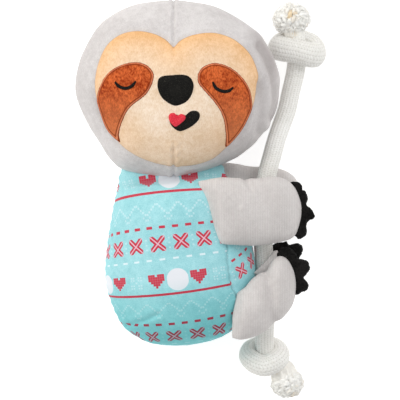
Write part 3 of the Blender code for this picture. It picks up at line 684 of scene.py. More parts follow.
def backPlace(run, along):  # and it goes on round the back
    return run + 21 * mm, along + 9 * mm


sideRow = torsoRows[int(np.argmin(np.abs(torsoAlong + 4.3 * mm)))]
sideStart = girth(sideRow, seamAngle(sideRow), 0.0)


def sidePlace(run, along):  # the side panel's cloth is turned, so that its rows climb steeply
    turn = math.radians(25)
    x, y = (run - sideStart - 9.4 * mm) * 1.15, (along + 12.96 * mm) * 1.15
    u = x * math.cos(turn) + y * math.sin(turn) + 2.55 * mm
    v = y * math.cos(turn) - x * math.sin(turn) + 8.6 * mm
    u = np.interp(u / mm, (-60, -3.5, 60), (-43, -3.5, 60)) * mm  # the cloth is stretched there
    return u, np.interp(v / mm, (-60, -7.6, 2.4, 60), (-52.9, -0.5, 2.4, 60)) * mm


jerseyLook = {"dark": "8BC8CF", "light": "A9DCE2", "pile": 0.6 * mm, "tuft": 3.5 * mm, "patch": 34 * mm,
              "bump": 0.22, "depth": 0.3 * mm, "rough": 0.88, "gloss": 0.2, "sheen": 0.25}
# deep is the colour of the painted shade low on the torso
printColours = {"red": "C5253F", "white": "EEF3F8", "dot": "E0E3E9", "pink": "EBAFBE", "deep": "BBE8E6"}
border = {  # in mm, each row up from the row of hearts; "moves" is its shift at each repeat
    "repeat": 61.0, "start": -12.0, "raised": 14.6,
    "line": {"row": -8.7, "half": 0.82},
    "redDashes": {"row": 33.0, "half": 0.82, "pitch": 8.1, "length": 1.9, "moves": -1.8},
    "whiteDashes": {"row": 13.4, "half": 0.6, "pitch": 8.4, "length": 1.75, "shift": 2.0},
    "crosses": {"row": 23.2, "half": 4.7, "pitch": 14.55, "shift": 12.0, "moves": 2.6,
                "stroke": 0.98, "thick": 0.62},
    "motifs": {"dot": 6.9, "pitch": 13.25, "shift": 2.6, "moves": -2.7, "square": 1.47, "star": 1.7},
    "zigzag": {"row": 42.7, "half": 0.56, "square": 1.36, "pitch": 13.6, "shift": 3.4, "slope": 0.95,
               "lower": -2.9},
}


def printPaint(add, colour, height):  # a knitted border pattern, printed row by row, with painted shade low on the torso and in the seam's groove
    weave = weaveOf(add)
    u, v = weave[0], weave[1]
    shifted = add("Math SUBTRACT", add("Math ADD", v, border["raised"]), border["start"])
    wrapped = add("Math FLOORED_MODULO", shifted, border["repeat"])
    level = add("Math ADD", wrapped, border["start"])
    block = add("Math DIVIDE", add("Math SUBTRACT", shifted, wrapped), border["repeat"])

    def cell(value, pitch, shift=0.0):  # distance from the middle of its cell, and the cell's number
        scaled = add("Math DIVIDE", add("Math ADD", value, shift), pitch)
        number = add("Math ROUND", scaled)
        return add("Math MULTIPLY", add("Math SUBTRACT", scaled, number), pitch), number

    def box(*ways):  # 1 inside a box, from the value, the middle and half the size in each way
        return allOf(add, *[add("Math COMPARE", *way) for way in ways])

    def moved(row):  # each repeat of the print lies a little to one side of the last
        return cell(add("Math MULTIPLY_ADD", block, row["moves"], u), row["pitch"], row.get("shift", 0.0))

    line = box((level, border["line"]["row"], border["line"]["half"]))
    row = border["redDashes"]
    redDashes = box((level, row["row"], row["half"]), (moved(row)[0], 0.0, row["length"]))
    row = border["whiteDashes"]
    dash, _ = cell(u, row["pitch"], row["shift"])
    whiteDashes = box((level, row["row"], row["half"]), (dash, 0.0, row["length"]))

    row = border["crosses"]  # of double strokes, with rows of small squares between them
    crossU, _ = moved(row)
    crossV = add("Math SUBTRACT", level, row["row"])
    slants = [add("Math ABSOLUTE", add("Math " + sign, crossU, crossV)) for sign in ("ADD", "SUBTRACT")]
    nearer = add("Math MULTIPLY", add("Math MINIMUM", *slants), math.sqrt(0.5))
    whole = box((crossU, 0.0, row["half"]), (crossV, 0.0, row["half"]))
    crosses = allOf(add, box((nearer, row["stroke"], row["thick"])), whole)
    strokeGap = allOf(add, box((nearer, 0.0, row["stroke"] - row["thick"])), whole)
    squareV, _ = cell(crossV, 3.0)
    specks = box((add("Math ABSOLUTE", crossU), 7.27, 0.55), (squareV, 0.0, 0.5), (crossV, 0.0, 5.2))

    row = border["motifs"]  # a round spot, a heart of small squares and a star of separate squares
    motifU, number = moved(row)
    kind = add("Math FLOORED_MODULO", number, 4.0)
    pixelU, stepU = cell(motifU, row["square"])
    pixelV, stepV = cell(level, row["square"], row["square"] / 2)
    column = add("Math ABSOLUTE", stepU)
    outline = add("Math MINIMUM", add("Math ADD", stepV, 2.5), 3.5)
    notch = add("Math SUBTRACT", stepV, 2.5)
    heart = allOf(add, add("Math LESS_THAN", column, outline), add("Math GREATER_THAN", column, notch),
                  box((stepV, 0.5, 3.0), (add("Math FLOORED_MODULO", kind, 2.0), 1.0, 0.1)))
    square = box((pixelU, 0.0, 0.64), (pixelV, 0.0, 0.64))
    heart = add("Math MULTIPLY", heart, add("Math MULTIPLY_ADD", square, 0.16, 0.84))  # paler between squares
    squares = add("Math ADD", add("Math POWER", motifU, 2.0), add("Math POWER", level, 2.0))
    dots = box((add("Math SQRT", squares), 0.0, row["dot"]), (kind, 0.0, 0.1))
    starU, starStepU = cell(motifU, row["star"])
    starV, starStepV = cell(level, row["star"])
    sizeU, sizeV = add("Math ABSOLUTE", starStepU), add("Math ABSOLUTE", starStepV)
    rays = anyOf(add, box((sizeU, sizeV, 0.1)), box((add("Math ADD", sizeU, sizeV), 3.0, 0.1)))
    stars = allOf(add, rays, box((starU, 0.0, 0.5), (starV, 0.0, 0.5), (sizeU, 0.0, 2.5), (sizeV, 0.0, 2.5),
                                 (kind, 2.0, 0.1)))

    row = border["zigzag"]  # of small squares, with a shorter one below it
    zigU, zigNumber = cell(u, row["square"])
    phase, _ = cell(add("Math MULTIPLY", zigNumber, row["square"]), row["pitch"], row["shift"])
    middle = row["row"] - row["slope"] * row["pitch"] / 4
    climb = add("Math MULTIPLY_ADD", add("Math ABSOLUTE", phase), row["slope"], middle)
    zigV = add("Math SUBTRACT", level, climb)
    zigzag = box((zigU, 0.0, row["half"]), (zigV, 0.0, row["half"]))
    zigLower = box((zigU, 0.0, 0.5), (zigV, row["lower"], 0.5), (phase, 0.0, 2.6))

    layers = [  # each colour, its mask and how much it covers
        ("white", anyOf(add, zigzag, zigLower, stars, specks), 0.32), ("white", whiteDashes, 0.68),
        ("pink", strokeGap, 0.8), ("dot", dots, 1.0),
        ("red", anyOf(add, line, redDashes, crosses, heart), 0.96),
    ]
    for name, mask, cover in layers:
        colour = tint(add, colour, printColours[name], mask, cover)
    # painted shade: darker and more saturated towards the bottom of the torso
    low = add("MapRange", v, -14.0, -50.0)
    colour = add("Mix RGBA", low, colour, hexLinear(printColours["deep"]), blend_type="MULTIPLY")
    grooveShade = add("MapRange", weave[2], 0.0, 1.0, 0.76)  # painted shade, darker in the groove of the seam
    return add("Mix RGBA", 1.0, colour, grooveShade, blend_type="MULTIPLY"), height


# brushed knit with a printed border pattern, and painted shade low on the torso and in its seams
printedJersey = fabric("printed aqua jersey", jerseyLook, printPaint)
torsoPanel("torso_front_cover", seamAngle, lambda row: math.pi, 150, math.pi / 2, frontPlace,
           ["torso_front_panel", "torso_filling"], 1.0)
torsoPanel("torso_back_cover", lambda row: -math.pi, lambda row: -seamAngle(row), 100, -math.pi / 2,
           backPlace, ["torso_back_panel"], 2.0)
torsoPanel("torso_side_cover", lambda row: -seamAngle(row), seamAngle, 60, 0.0, sidePlace,
           ["torso_side_panel"], 3.0)
print("torso")


# Head: grey cover, cream face, brown patches, and the stitched eyes, nose and mouth
head = {
    "centre": np.array((-1.11, 102.68, 38.0)) * mm, "half": np.array((63.25, 54.9, 38.5)) * mm, "puff": 2.2,
    "seamX": -3.32 * mm, "bumps": 0.6 * mm, "ripples": 0.16 * mm,
    "folds": [  # long soft folds of the cover beside the face: places in mm, depth, width
        ([(50.2, 129.0), (55.2, 120.9), (58.3, 109.7), (59.8, 96.1), (57.7, 84.9)], 2.2 * mm, 2.6 * mm),
        ([(49.4, 105.4), (51.2, 89.9), (49.8, 75.6)], 1.1 * mm, 2.8 * mm),
        ([(-47.0, 136.0), (-54.0, 124.0)], 0.4 * mm, 2.6 * mm),
    ],
    "darkerStrip": [(46.5, 136.0), (53.5, 128.0), (57.5, 118.0)],  # a strip where the grey is painted darker, in mm
    "outline": [  # shares of half the width and half the height, here and below
        (-0.049, 1.006), (0.265, 0.966), (0.48, 0.881), (0.735, 0.689), (0.902, 0.452), (0.99, 0.203),
        (1.0, -0.023), (0.951, -0.282), (0.824, -0.52), (0.627, -0.734), (0.451, -0.836), (0.206, -0.938),
        (-0.049, -0.994), (-0.284, -0.977), (-0.539, -0.9), (-0.676, -0.757), (-0.765, -0.588),
        (-0.853, -0.429), (-0.941, -0.226), (-0.995, -0.056), (-1.0, 0.09), (-0.961, 0.316), (-0.873, 0.531),
        (-0.775, 0.701), (-0.647, 0.83), (-0.402, 0.96),
    ],
    "face": [
        (-0.034, 0.48), (0.039, 0.554), (0.176, 0.616), (0.373, 0.633), (0.569, 0.554), (0.716, 0.384),
        (0.784, 0.203), (0.794, 0.045), (0.745, -0.203), (0.627, -0.497), (0.48, -0.678), (0.343, -0.802),
        (0.176, -0.864), (-0.02, -0.881), (-0.225, -0.847), (-0.402, -0.768), (-0.569, -0.621),
        (-0.716, -0.384), (-0.784, -0.181), (-0.814, 0.079), (-0.784, 0.282), (-0.706, 0.475),
        (-0.578, 0.605), (-0.422, 0.655), (-0.245, 0.633), (-0.118, 0.565),
    ],
}


def onHead(shares):  # places in plan, from shares of the head's half size
    shares = np.asarray(shares, float)
    return head["centre"][:2] + shares * head["half"][:2]


def radiusRound(line):  # the line's distance from the head's middle in every direction
    away = line - head["centre"][:2]
    angles = np.arctan2(away[:, 1], away[:, 0])
    order = np.argsort(angles)
    return angles[order], np.linalg.norm(away, axis=1)[order]


headRound = radiusRound(smoothPoints(onHead(head["outline"]), 16))
faceRound = radiusRound(smoothPoints(onHead(head["face"]), 16))


def roundHead(angles, reach):  # places in plan, at this reach from the head's middle
    return head["centre"][:2] + np.stack([np.cos(angles), np.sin(angles)], axis=1) * reach[:, None]


def radiusAt(table, angles):  # that distance in these directions
    return np.interp(angles, table[0], table[1], period=math.tau)


def headLift(places):  # height of the head's front over the places, in plan
    away = places[:, :2] - head["centre"][:2]
    share = np.linalg.norm(away, axis=1) / radiusAt(headRound, np.arctan2(away[:, 1], away[:, 0]))
    share = np.minimum(share, 0.9995)
    return head["centre"][2] + head["half"][2] * (1 - share**head["puff"]) ** (1 / head["puff"])


def headOut(places):  # the direction out of the head's front
    step = 0.4 * mm
    right, left = places[:, :2] + (step, 0), places[:, :2] - (step, 0)
    upper, lower = places[:, :2] + (0, step), places[:, :2] - (0, step)
    slopeX = (headLift(right) - headLift(left)) / (2 * step)
    slopeY = (headLift(upper) - headLift(lower)) / (2 * step)
    return unit(np.stack([-slopeX, -slopeY, np.ones(len(places))], axis=1))


def seamShape(away, depth, width):  # a groove with the cloth standing up beside it
    return depth * (0.35 * fade(away - 2.6 * width, 1.6 * width) - fade(away, width))


def dentDistance(points, line):
    return lineDistance(points, smoothPoints(np.array(line) * mm, 4, closed=False))


def headShadeAndPatches(points):  # how much darker the grey is painted: painted shade in the long folds and over the head's right side, with broad patches there and a darker strip at the top right
    shadeAndPatches = 0.4 * np.clip(lumps(points, 30 * mm, 12.0), 0, 1) * ramp(points[:, 0], 0, 30 * mm)
    for line, depth, width in head["folds"]:
        shadeAndPatches += depth / (2.6 * mm) * fade(dentDistance(points, line), 1.25 * width)
    shadeAndPatches += 0.6 * fade(lineDistance(points, np.array(head["darkerStrip"]) * mm), 5 * mm)
    level = ramp(points[:, 2], head["centre"][2] - 12 * mm, 20 * mm)  # it fades out down the head's side
    return np.clip(0.2 + (shadeAndPatches - 0.2) * level * level * (3 - 2 * level), 0, 1)


def headFolds(points):  # soft lumps of the filling, the two short seams and the pulls beside them
    bumps = head["bumps"] * lumps(points, 24 * mm, 5.0) + head["ripples"] * lumps(points, 7 * mm, 7.0)
    x, y = points[:, 0] - head["seamX"], points[:, 1]
    front = points[:, 2] > head["centre"][2] - 30 * mm
    upper = 1 / (1 + np.exp(-(y - 126 * mm) / (1.5 * mm)))
    chin = 1 / (1 + np.exp((y - 69 * mm) / (1.5 * mm)))
    pulls = 0.3 * mm * np.sin((y / mm - np.abs(x) / mm * 0.8) * 1.25) * fade(x, 6 * mm)
    seams = (seamShape(np.abs(x), 1.1 * mm, 0.8 * mm) + pulls * 0.8) * np.maximum(upper, chin)
    for line, depth, width in head["folds"]:
        dent = seamShape(dentDistance(points, line), depth, width)
        bumps += np.where(points[:, 2] > head["centre"][2], dent, 0)
    return bumps + np.where(front, seams, seams * 0.6)


greyLook = {"dark": "C4BFBE", "light": "DAD6D5", "pile": 0.6 * mm, "tuft": 3.5 * mm, "patch": 30 * mm,
            "lie": 0.5, "bump": 0.55, "depth": 0.6 * mm, "rough": 0.92, "gloss": 0.12, "sheen": 0.35}
creamLook = {"dark": "E4C8A8", "light": "F7E5D2", "pile": 0.6 * mm, "tuft": 2.6 * mm, "patch": 20 * mm,
             "lie": 0.4, "bump": 0.65, "depth": 0.7 * mm, "rough": 0.92, "gloss": 0.12, "sheen": 0.35}
brownLook = {"dark": "8A2606", "light": "E5733B", "pile": 0.6 * mm, "tuft": 1.9 * mm, "patch": 9 * mm,
             "lie": 0.4, "bump": 0.9, "depth": 0.8 * mm, "rough": 0.9, "gloss": 0.12, "sheen": 0.25}
blackThreadLook = {"dark": "050504", "light": "1B1A17", "pile": 0.5 * mm, "tuft": 1.3 * mm, "patch": 12 * mm,
                   "bump": 0.8, "depth": 0.4 * mm, "rough": 0.7, "gloss": 0.14, "sheen": 0.0}
redThreadLook = {"dark": "D42A3C", "light": "EE4552", "pile": 0.5 * mm, "tuft": 2 * mm, "patch": 12 * mm,
                 "bump": 0.5, "depth": 0.3 * mm, "rough": 0.8, "gloss": 0.2, "sheen": 0.25}


def edgePaint(seamColour, firstLine, secondLine):  # stitched lines at these distances inside the edge, in mm
    def paint(add, colour, height):
        toEdge = add("Math MULTIPLY", add("Attribute", attribute_name="edge").outputs["Fac"], 1000.0)
        lines = add("Math COMPARE", toEdge, firstLine, 0.45)
        if secondLine:  # with a lighter strip between them
            between = add("Math COMPARE", toEdge, (firstLine + secondLine) / 2, 0.4)
            colour = tint(add, colour, "EFA684", between, 0.32)
            second = add("Math COMPARE", toEdge, secondLine, 0.34)
            lines = anyOf(add, lines, add("Math MULTIPLY", second, 0.9))
        return tint(add, colour, seamColour, lines, 0.85), add("Math MULTIPLY_ADD", lines, -0.5, height)
    return paint


def creamPaint(add, colour, height):  # warmer towards the edge, with a darker sewn line
    warm = add("Attribute", attribute_name="warm").outputs["Fac"]
    colour = add("Mix RGBA", warm, colour, hexLinear("FBD6A4"), blend_type="MULTIPLY")
    return edgePaint("C98F55", 0.0, None)(add, colour, height)


def satinPaint(pitch, highlightColour):  # rows of laid thread, with painted highlights in specks on it
    def paint(add, colour, height):
        weave = weaveOf(add)
        rows = add("Math SINE", add("Math MULTIPLY", weave[0], math.tau / pitch))
        colour = tint(add, colour, highlightColour, add("MapRange", height, 0.60, 0.70), 0.6)
        return colour, add("Math MULTIPLY_ADD", rows, 0.35, height)
    return paint


def greyPaint(add, colour, height):  # painted shade in the folds and on the head's right side, and darker patches there
    shadeAndPatches = add("Attribute", attribute_name="shadeAndPatches").outputs["Fac"]
    return tint(add, colour, "968D8B", shadeAndPatches, 0.62), height


def patchPaint(add, colour, height):  # lighter low on the patch, and it has two stitched lines
    colour = tint(add, colour, "DD8A5A", add("MapRange", weaveOf(add)[1], 104.0, 76.0), 0.55)
    return edgePaint("7E3114", 0.35, 1.9)(add, colour, height)


greyPlush = fabric("grey short plush", greyLook, greyPaint)  # short pile, with painted shade in its folds and on the head's right side
creamPlush = fabric("cream short plush", creamLook, creamPaint)  # warmer towards its sewn edge
brownPlush = fabric("rust short plush", brownLook, patchPaint)  # lighter below, stitched at the edge
# satin stitch is faintly shiny, with painted highlights in specks; its thread is drawn twice as coarse as it
# is, so that it shows
blackThread = fabric("black embroidery thread", blackThreadLook, satinPaint(0.75, "5E5A50"))
redThread = fabric("red embroidery thread", redThreadLook, satinPaint(0.75, "F58A90"))


def makeHeadCover():
    columns, steps = 300, 92
    angles = circle(columns, -math.pi)
    outer = radiusAt(headRound, angles)
    share = np.clip((radiusAt(faceRound, angles) - 0.5 * mm) / outer, 0, 0.995)
    start = np.arcsin((1 - share**head["puff"]) ** (1 / head["puff"]))
    rows = []
    for k in range(steps):
        turn = start + (-math.pi / 2 - start) * ((k / steps) ** 1.15)
        rise = np.sin(turn)
        flat = roundHead(angles, outer * (1 - np.abs(rise) ** head["puff"]) ** (1 / head["puff"]))
        rows.append(np.column_stack([flat, head["centre"][2] + head["half"][2] * rise]))
    points = np.vstack([*rows, head["centre"] - up * head["half"][2]])
    out = unit(points - head["centre"])
    toFace = lineDistance(points, roundHead(angles, radiusAt(faceRound, angles)), closed=True)
    # the painted shade and darker patches of the grey, kept at each point
    fold, shadeAndPatches = headFolds(points), headShadeAndPatches(points)
    fold -= np.where(points[:, 2] > head["centre"][2], 1.1 * mm * fade(toFace, 1.1 * mm), 0)
    points = points + out * fold[:, None]
    points[:, 2] = np.maximum(points[:, 2], 0.0)
    faces = gridFaces(steps, columns, wrap=True) + poleFaces(steps * columns, (steps - 1) * columns, columns)
    piece = meshPiece("head_cover", points, faces, head["centre"], {"shadeAndPatches": shadeAndPatches})
    dropInside(piece, 1.2 * mm)
    dress(piece, greyPlush, "head", ["head_panel_left", "head_panel_right", "head_filling"])


def makeFace():
    columns, steps = 300, 80
    angles = circle(columns, -math.pi)
    reach = radiusAt(faceRound, angles)
    rows = [roundHead(angles, reach * math.sin(k / steps * math.pi / 2) ** 0.9) for k in range(1, steps + 1)]
    flat = np.vstack([*rows, head["centre"][:2]])
    edge = lineDistance(flat, roundHead(angles, reach), closed=True)
    points = np.column_stack([flat, headLift(flat)])
    lift = 1.5 * mm * (1 - np.exp(-edge / (1.6 * mm))) - 1.0 * mm + headFolds(points)
    points = points + headOut(flat) * lift[:, None]
    faces = gridFaces(steps, columns, wrap=True) + poleFaces(steps * columns, 0, columns)
    level = ramp(flat[:, 1], 60 * mm, 75 * mm)
    warm = 0.95 * (1 - ramp(edge, 0, 24 * mm)) * (0.25 + 0.75 * level)
    piece = meshPiece("face_cover", points, faces, head["centre"], {"edge": edge, "warm": warm})
    dress(piece, creamPlush, "head", ["face_panel"])


def faceUp(shape):  # an open shape's faces look up
    faceOut(shape)
    highest = max(shape.faces, key=lambda face: face.calc_center_median().z)
    if highest.normal.z < 0:
        bmesh.ops.reverse_faces(shape, faces=shape.faces)


def layOn(name, look):  # a flat piece that follows the face, thick in the middle and round at the edge
    spacing = look["spacing"]
    line = evenPoints(smoothPoints(onHead(look["outline"]), 8), spacing, closed=True)
    low, high = line.min(axis=0), line.max(axis=0)
    xs = np.arange(low[0], high[0], spacing)
    ys = np.arange(low[1], high[1], spacing * 0.866)  # rows of even triangles
    grid = np.array([(x + (k % 2) * spacing / 2, y) for k, y in enumerate(ys) for x in xs])
    away = lineDistance(grid, line, closed=True)
    grid = grid[insideLine(grid, line) & (away > spacing * 0.55)]
    count = len(line)
    rim = [(i, (i + 1) % count) for i in range(count)]
    flat = [Vector(place) for place in np.vstack([line, grid]).tolist()]
    found = delaunay_2d_cdt(flat, rim, [list(range(count))], 1, 1e-7)
    flat, faces = np.array([tuple(place) for place in found[0]]), [tuple(face) for face in found[2]]
    order = [int(np.argmin(np.linalg.norm(flat - place, axis=1))) for place in line]  # the edge's own points
    edge = lineDistance(flat, line, closed=True)
    points = np.column_stack([flat, headLift(flat)])
    folds, out = headFolds(points), headOut(flat)
    lift = look["base"] + look["thick"] * (1 - np.exp(-edge / look["soft"])) + folds
    lift -= 0.25 * mm * np.exp(-edge / (0.4 * mm))
    top = points + out * lift[:, None]
    tuck = look["base"] - 0.8 * mm + folds[order]
    skirt = points[order] + out[order] * tuck[:, None]  # the edge goes down into the face
    below = [len(top) + i for i in range(count)]
    faces += [(order[a], order[b], below[b], below[a]) for a, b in rim]
    weave = np.column_stack([flat[:, 0] * 0.94 + flat[:, 1] * 0.34, flat[:, 1], edge]) / mm
    values = {"edge": np.append(edge, np.zeros(count)), "weave": np.vstack([weave, weave[order]])}
    piece = meshPiece(name, np.vstack([top, skirt]), faces, None, values)
    reshape(piece, faceUp)
    dress(piece, look["material"], "head", [look["node"]])


faceFinish = {  # in the toy's own left and right: how high each starts, how thick it is, how soon it gets so
    "patch_right": {
        "base": 0.2 * mm, "thick": 1.1 * mm, "soft": 0.7 * mm, "spacing": 0.75 * mm,
        "material": brownPlush, "slot": "rust_plush", "node": "eye_patch_right",
        "outline": [
            (-0.402, 0.305), (-0.294, 0.271), (-0.23, 0.192), (-0.221, 0.113), (-0.255, 0.0), (-0.314, -0.09),
            (-0.451, -0.215), (-0.525, -0.367), (-0.559, -0.508), (-0.563, -0.599), (-0.69, -0.452),
            (-0.765, -0.226), (-0.784, -0.107), (-0.75, 0.045), (-0.676, 0.181), (-0.549, 0.271),
        ],
    },
    "patch_left": {
        "base": 0.2 * mm, "thick": 1.1 * mm, "soft": 0.7 * mm, "spacing": 0.75 * mm,
        "material": brownPlush, "slot": "rust_plush", "node": "eye_patch_left",
        "outline": [
            (0.373, 0.294), (0.265, 0.26), (0.206, 0.192), (0.191, 0.113), (0.206, 0.045), (0.255, -0.023),
            (0.373, -0.181), (0.441, -0.328), (0.466, -0.508), (0.48, -0.655), (0.627, -0.475),
            (0.721, -0.26), (0.732, -0.158), (0.706, 0.0), (0.618, 0.153), (0.5, 0.254),
        ],
    },
    "nose_cover": {
        "base": 0.3 * mm, "thick": 1.9 * mm, "soft": 1.6 * mm, "spacing": 0.6 * mm,
        "material": blackThread, "slot": "black_thread", "node": "nose",
        "outline": [
            (-0.196, 0.038), (-0.183, 0.112), (-0.139, 0.146), (-0.041, 0.158), (0.067, 0.16), (0.13, 0.129),
            (0.163, 0.061), (0.163, -0.007), (0.14, -0.086), (0.096, -0.148), (0.037, -0.185),
            (-0.022, -0.197), (-0.08, -0.171), (-0.139, -0.12), (-0.178, -0.052),
        ],
    },
    "mouth_cover": {
        "base": 0.3 * mm, "thick": 1.1 * mm, "soft": 0.8 * mm, "spacing": 0.5 * mm,
        "material": blackThread, "slot": "black_thread", "node": "mouth",
        "outline": [
            (-0.078, -0.316), (-0.059, -0.277), (-0.01, -0.282), (0.059, -0.305), (0.118, -0.254),
            (0.167, -0.237), (0.216, -0.26), (0.225, -0.316), (0.196, -0.373), (0.127, -0.435),
            (0.029, -0.479), (-0.039, -0.441), (-0.074, -0.384),
        ],
    },
    "tongue_cover": {
        "base": 1.1 * mm, "thick": 0.9 * mm, "soft": 0.6 * mm, "spacing": 0.4 * mm,
        "material": redThread, "slot": "red_felt", "node": "tongue",
        "outline": [
            (-0.082, -0.316), (-0.064, -0.278), (-0.029, -0.273), (0.005, -0.299), (0.039, -0.282),
            (0.074, -0.296), (0.083, -0.333), (0.049, -0.379), (-0.015, -0.425), (-0.064, -0.379),
        ],
    },
}
eyes = {  # one row of stitches each
    "eye_right": {"node": "closed_eye_right", "width": 2.05 * mm, "raised": 1.45 * mm, "line": [
        (-0.598, 0.075), (-0.559, 0.027), (-0.495, 0.003), (-0.436, 0.028), (-0.397, 0.082)]},
    "eye_left": {"node": "closed_eye_left", "width": 2.05 * mm, "raised": 1.45 * mm, "line": [
        (0.343, 0.075), (0.377, 0.006), (0.441, -0.029), (0.500, -0.023), (0.539, 0.014)]},
}


def makeEye(name, eye):  # one row of satin stitch, thinner at its ends
    path = evenPoints(smoothPoints(onHead(eye["line"]), 12, closed=False), 0.25 * mm)
    out = headOut(path)
    base = np.column_stack([path, headLift(path)])
    base = base + out * (eye["raised"] + headFolds(base))[:, None]
    across = np.cross(out, unit(np.gradient(base, axis=0)))
    run = runLength(base)
    sides = 14
    points, weave = [], []
    for k, centre in enumerate(base):
        share = k / (len(base) - 1)
        taper = 0.55 + 0.45 * min(1, 6 * min(share, 1 - share))
        width = eye["width"] / 2 * taper * (1 + 0.1 * math.sin(k * 1.9))  # no two stitches are the same
        for turn in circle(sides):
            points.append(centre + width * (across[k] * math.cos(turn) + out[k] * (0.5 * math.sin(turn))))
            weave.append((run[k] / mm, math.cos(turn), 0))
    points += [base[0], base[-1]]
    weave += [weave[0], weave[-1]]
    piece = outward(meshPiece(name, points, tubeFaces(len(base), sides), None, {"weave": np.array(weave)}))
    dress(piece, blackThread, "head", [eye["node"]])


makeHeadCover()
makeFace()
for name, look in faceFinish.items():
    layOn(name, look)
for name, eye in eyes.items():
    makeEye(name, eye)
print("head")


# Limbs: knitted grey sleeves and black claws
grip = {"height": 31.5 * mm, "gap": 0.3 * mm}  # where the front and back paws press on the rope
armRibShares = [
    (-0.14, 0.44, 0.04, -0.45), (0.02, 0.5, 0.145, -0.48), (0.19, 0.52, 0.3, -0.49), (0.42, 0.5, 0.47, -0.5),
    (0.65, 0.53, 0.66, -0.48), (0.81, 0.49, 0.82, -0.43), (0.91, 0.38, 0.92, -0.35),
    (0.97, 0.22, 0.98, -0.14), (1.0, 0.05, 1.0, 0.02),
]
legRibShares = [
    (0.2, 0.34, -0.28, -0.34), (0.35, 0.35, -0.12, -0.5), (0.53, 0.37, 0.06, -0.62), (0.76, 0.4, 0.33, -0.64),
    (0.94, 0.43, 0.58, -0.58), (1.06, 0.41, 0.78, -0.47), (1.11, 0.25, 0.93, -0.34), (1.1, 0.06, 1.02, -0.2),
    (1.08, -0.07, 1.06, -0.12),
]
frontLegRibShares = [
    (0.16, 0.24, -0.29, -0.44), (0.28, 0.24, -0.19, -0.57), (0.43, 0.26, -0.03, -0.66),
    (0.6, 0.3, 0.17, -0.68), (0.77, 0.345, 0.39, -0.69), (0.97, 0.345, 0.57, -0.645),
    (1.07, 0.23, 0.755, -0.57), (1.08, 0.03, 0.91, -0.4), (1.04, -0.13, 0.99, -0.27),
]
frontRiseShares = [0.30, 0.45, 0.32, 0.15, 0.00, -0.15, -0.28, -0.36, -0.37]
frontLegRiseShares = [0.27, 0.26, 0.15, 0.03, -0.02, -0.12, -0.22, -0.28, -0.30]
backRiseShares = [0.02, 0.01, 0.00, 0.00, 0.00, 0.10, 0.20, 0.27, 0.28]
frontSwellShares = [0.10, 0.27, 0.41, 0.48, 0.50, 0.48, 0.38, 0.22, 0.06]
frontLegSwellShares = [0.18, 0.38, 0.46, 0.50, 0.50, 0.45, 0.35, 0.20, 0.06]
backSwellShares = [0.34, 0.44, 0.49, 0.50, 0.50, 0.47, 0.38, 0.22, 0.06]

# Claws: outlines with blunt points, as shares of the span across the paw and of the reach beyond the paw
armClawShares = [
    (-0.47, -0.46), (-0.5, -0.2), (-0.49, 0.09), (-0.44, 0.4), (-0.36, 0.48), (-0.27, 0.41), (-0.2, 0.42),
    (-0.16, 0.6), (-0.14, 0.89), (-0.1, 1.06), (-0.05, 0.98), (0.02, 0.77), (0.08, 0.5), (0.11, 0.28),
    (0.2, 0.37), (0.29, 0.27), (0.35, 0.09), (0.37, -0.1), (0.4, -0.14), (0.45, -0.19), (0.5, -0.44),
    (0.51, -0.77), (0.5, -1.06), (0.45, -1.23), (0.49, -1.06), (0.4, -1.35), (0.1, -1.3), (-0.2, -1.2),
    (-0.4, -0.9),
]
legClawShares = [
    (-0.56, -0.99), (-0.58, -0.74), (-0.6, -0.43), (-0.62, -0.12), (-0.58, 0.07), (-0.52, 0.2), (-0.44, 0.2),
    (-0.38, 0.18), (-0.36, 0.35), (-0.35, 0.68), (-0.31, 0.96), (-0.22, 1.11), (-0.13, 1.1), (-0.05, 0.89),
    (0.01, 0.78), (0.15, 0.84), (0.28, 0.78), (0.36, 0.44), (0.36, -0.03), (0.32, -0.35), (0.15, -0.85),
    (-0.1, -1.1), (-0.35, -1.2),
]
backLegClawShares = [
    (-0.42, 0.15), (-0.39, 0.61), (-0.32, 0.83), (-0.29, 1.03), (-0.27, 1.37), (-0.23, 1.6), (-0.16, 1.72),
    (-0.08, 1.71), (-0.03, 1.58), (0.0, 1.36), (0.04, 1.1), (0.07, 1.02), (0.14, 1.07), (0.23, 0.69),
    (0.29, 0.21), (0.3, -0.03), (0.05, -0.6), (-0.25, -0.6),
]
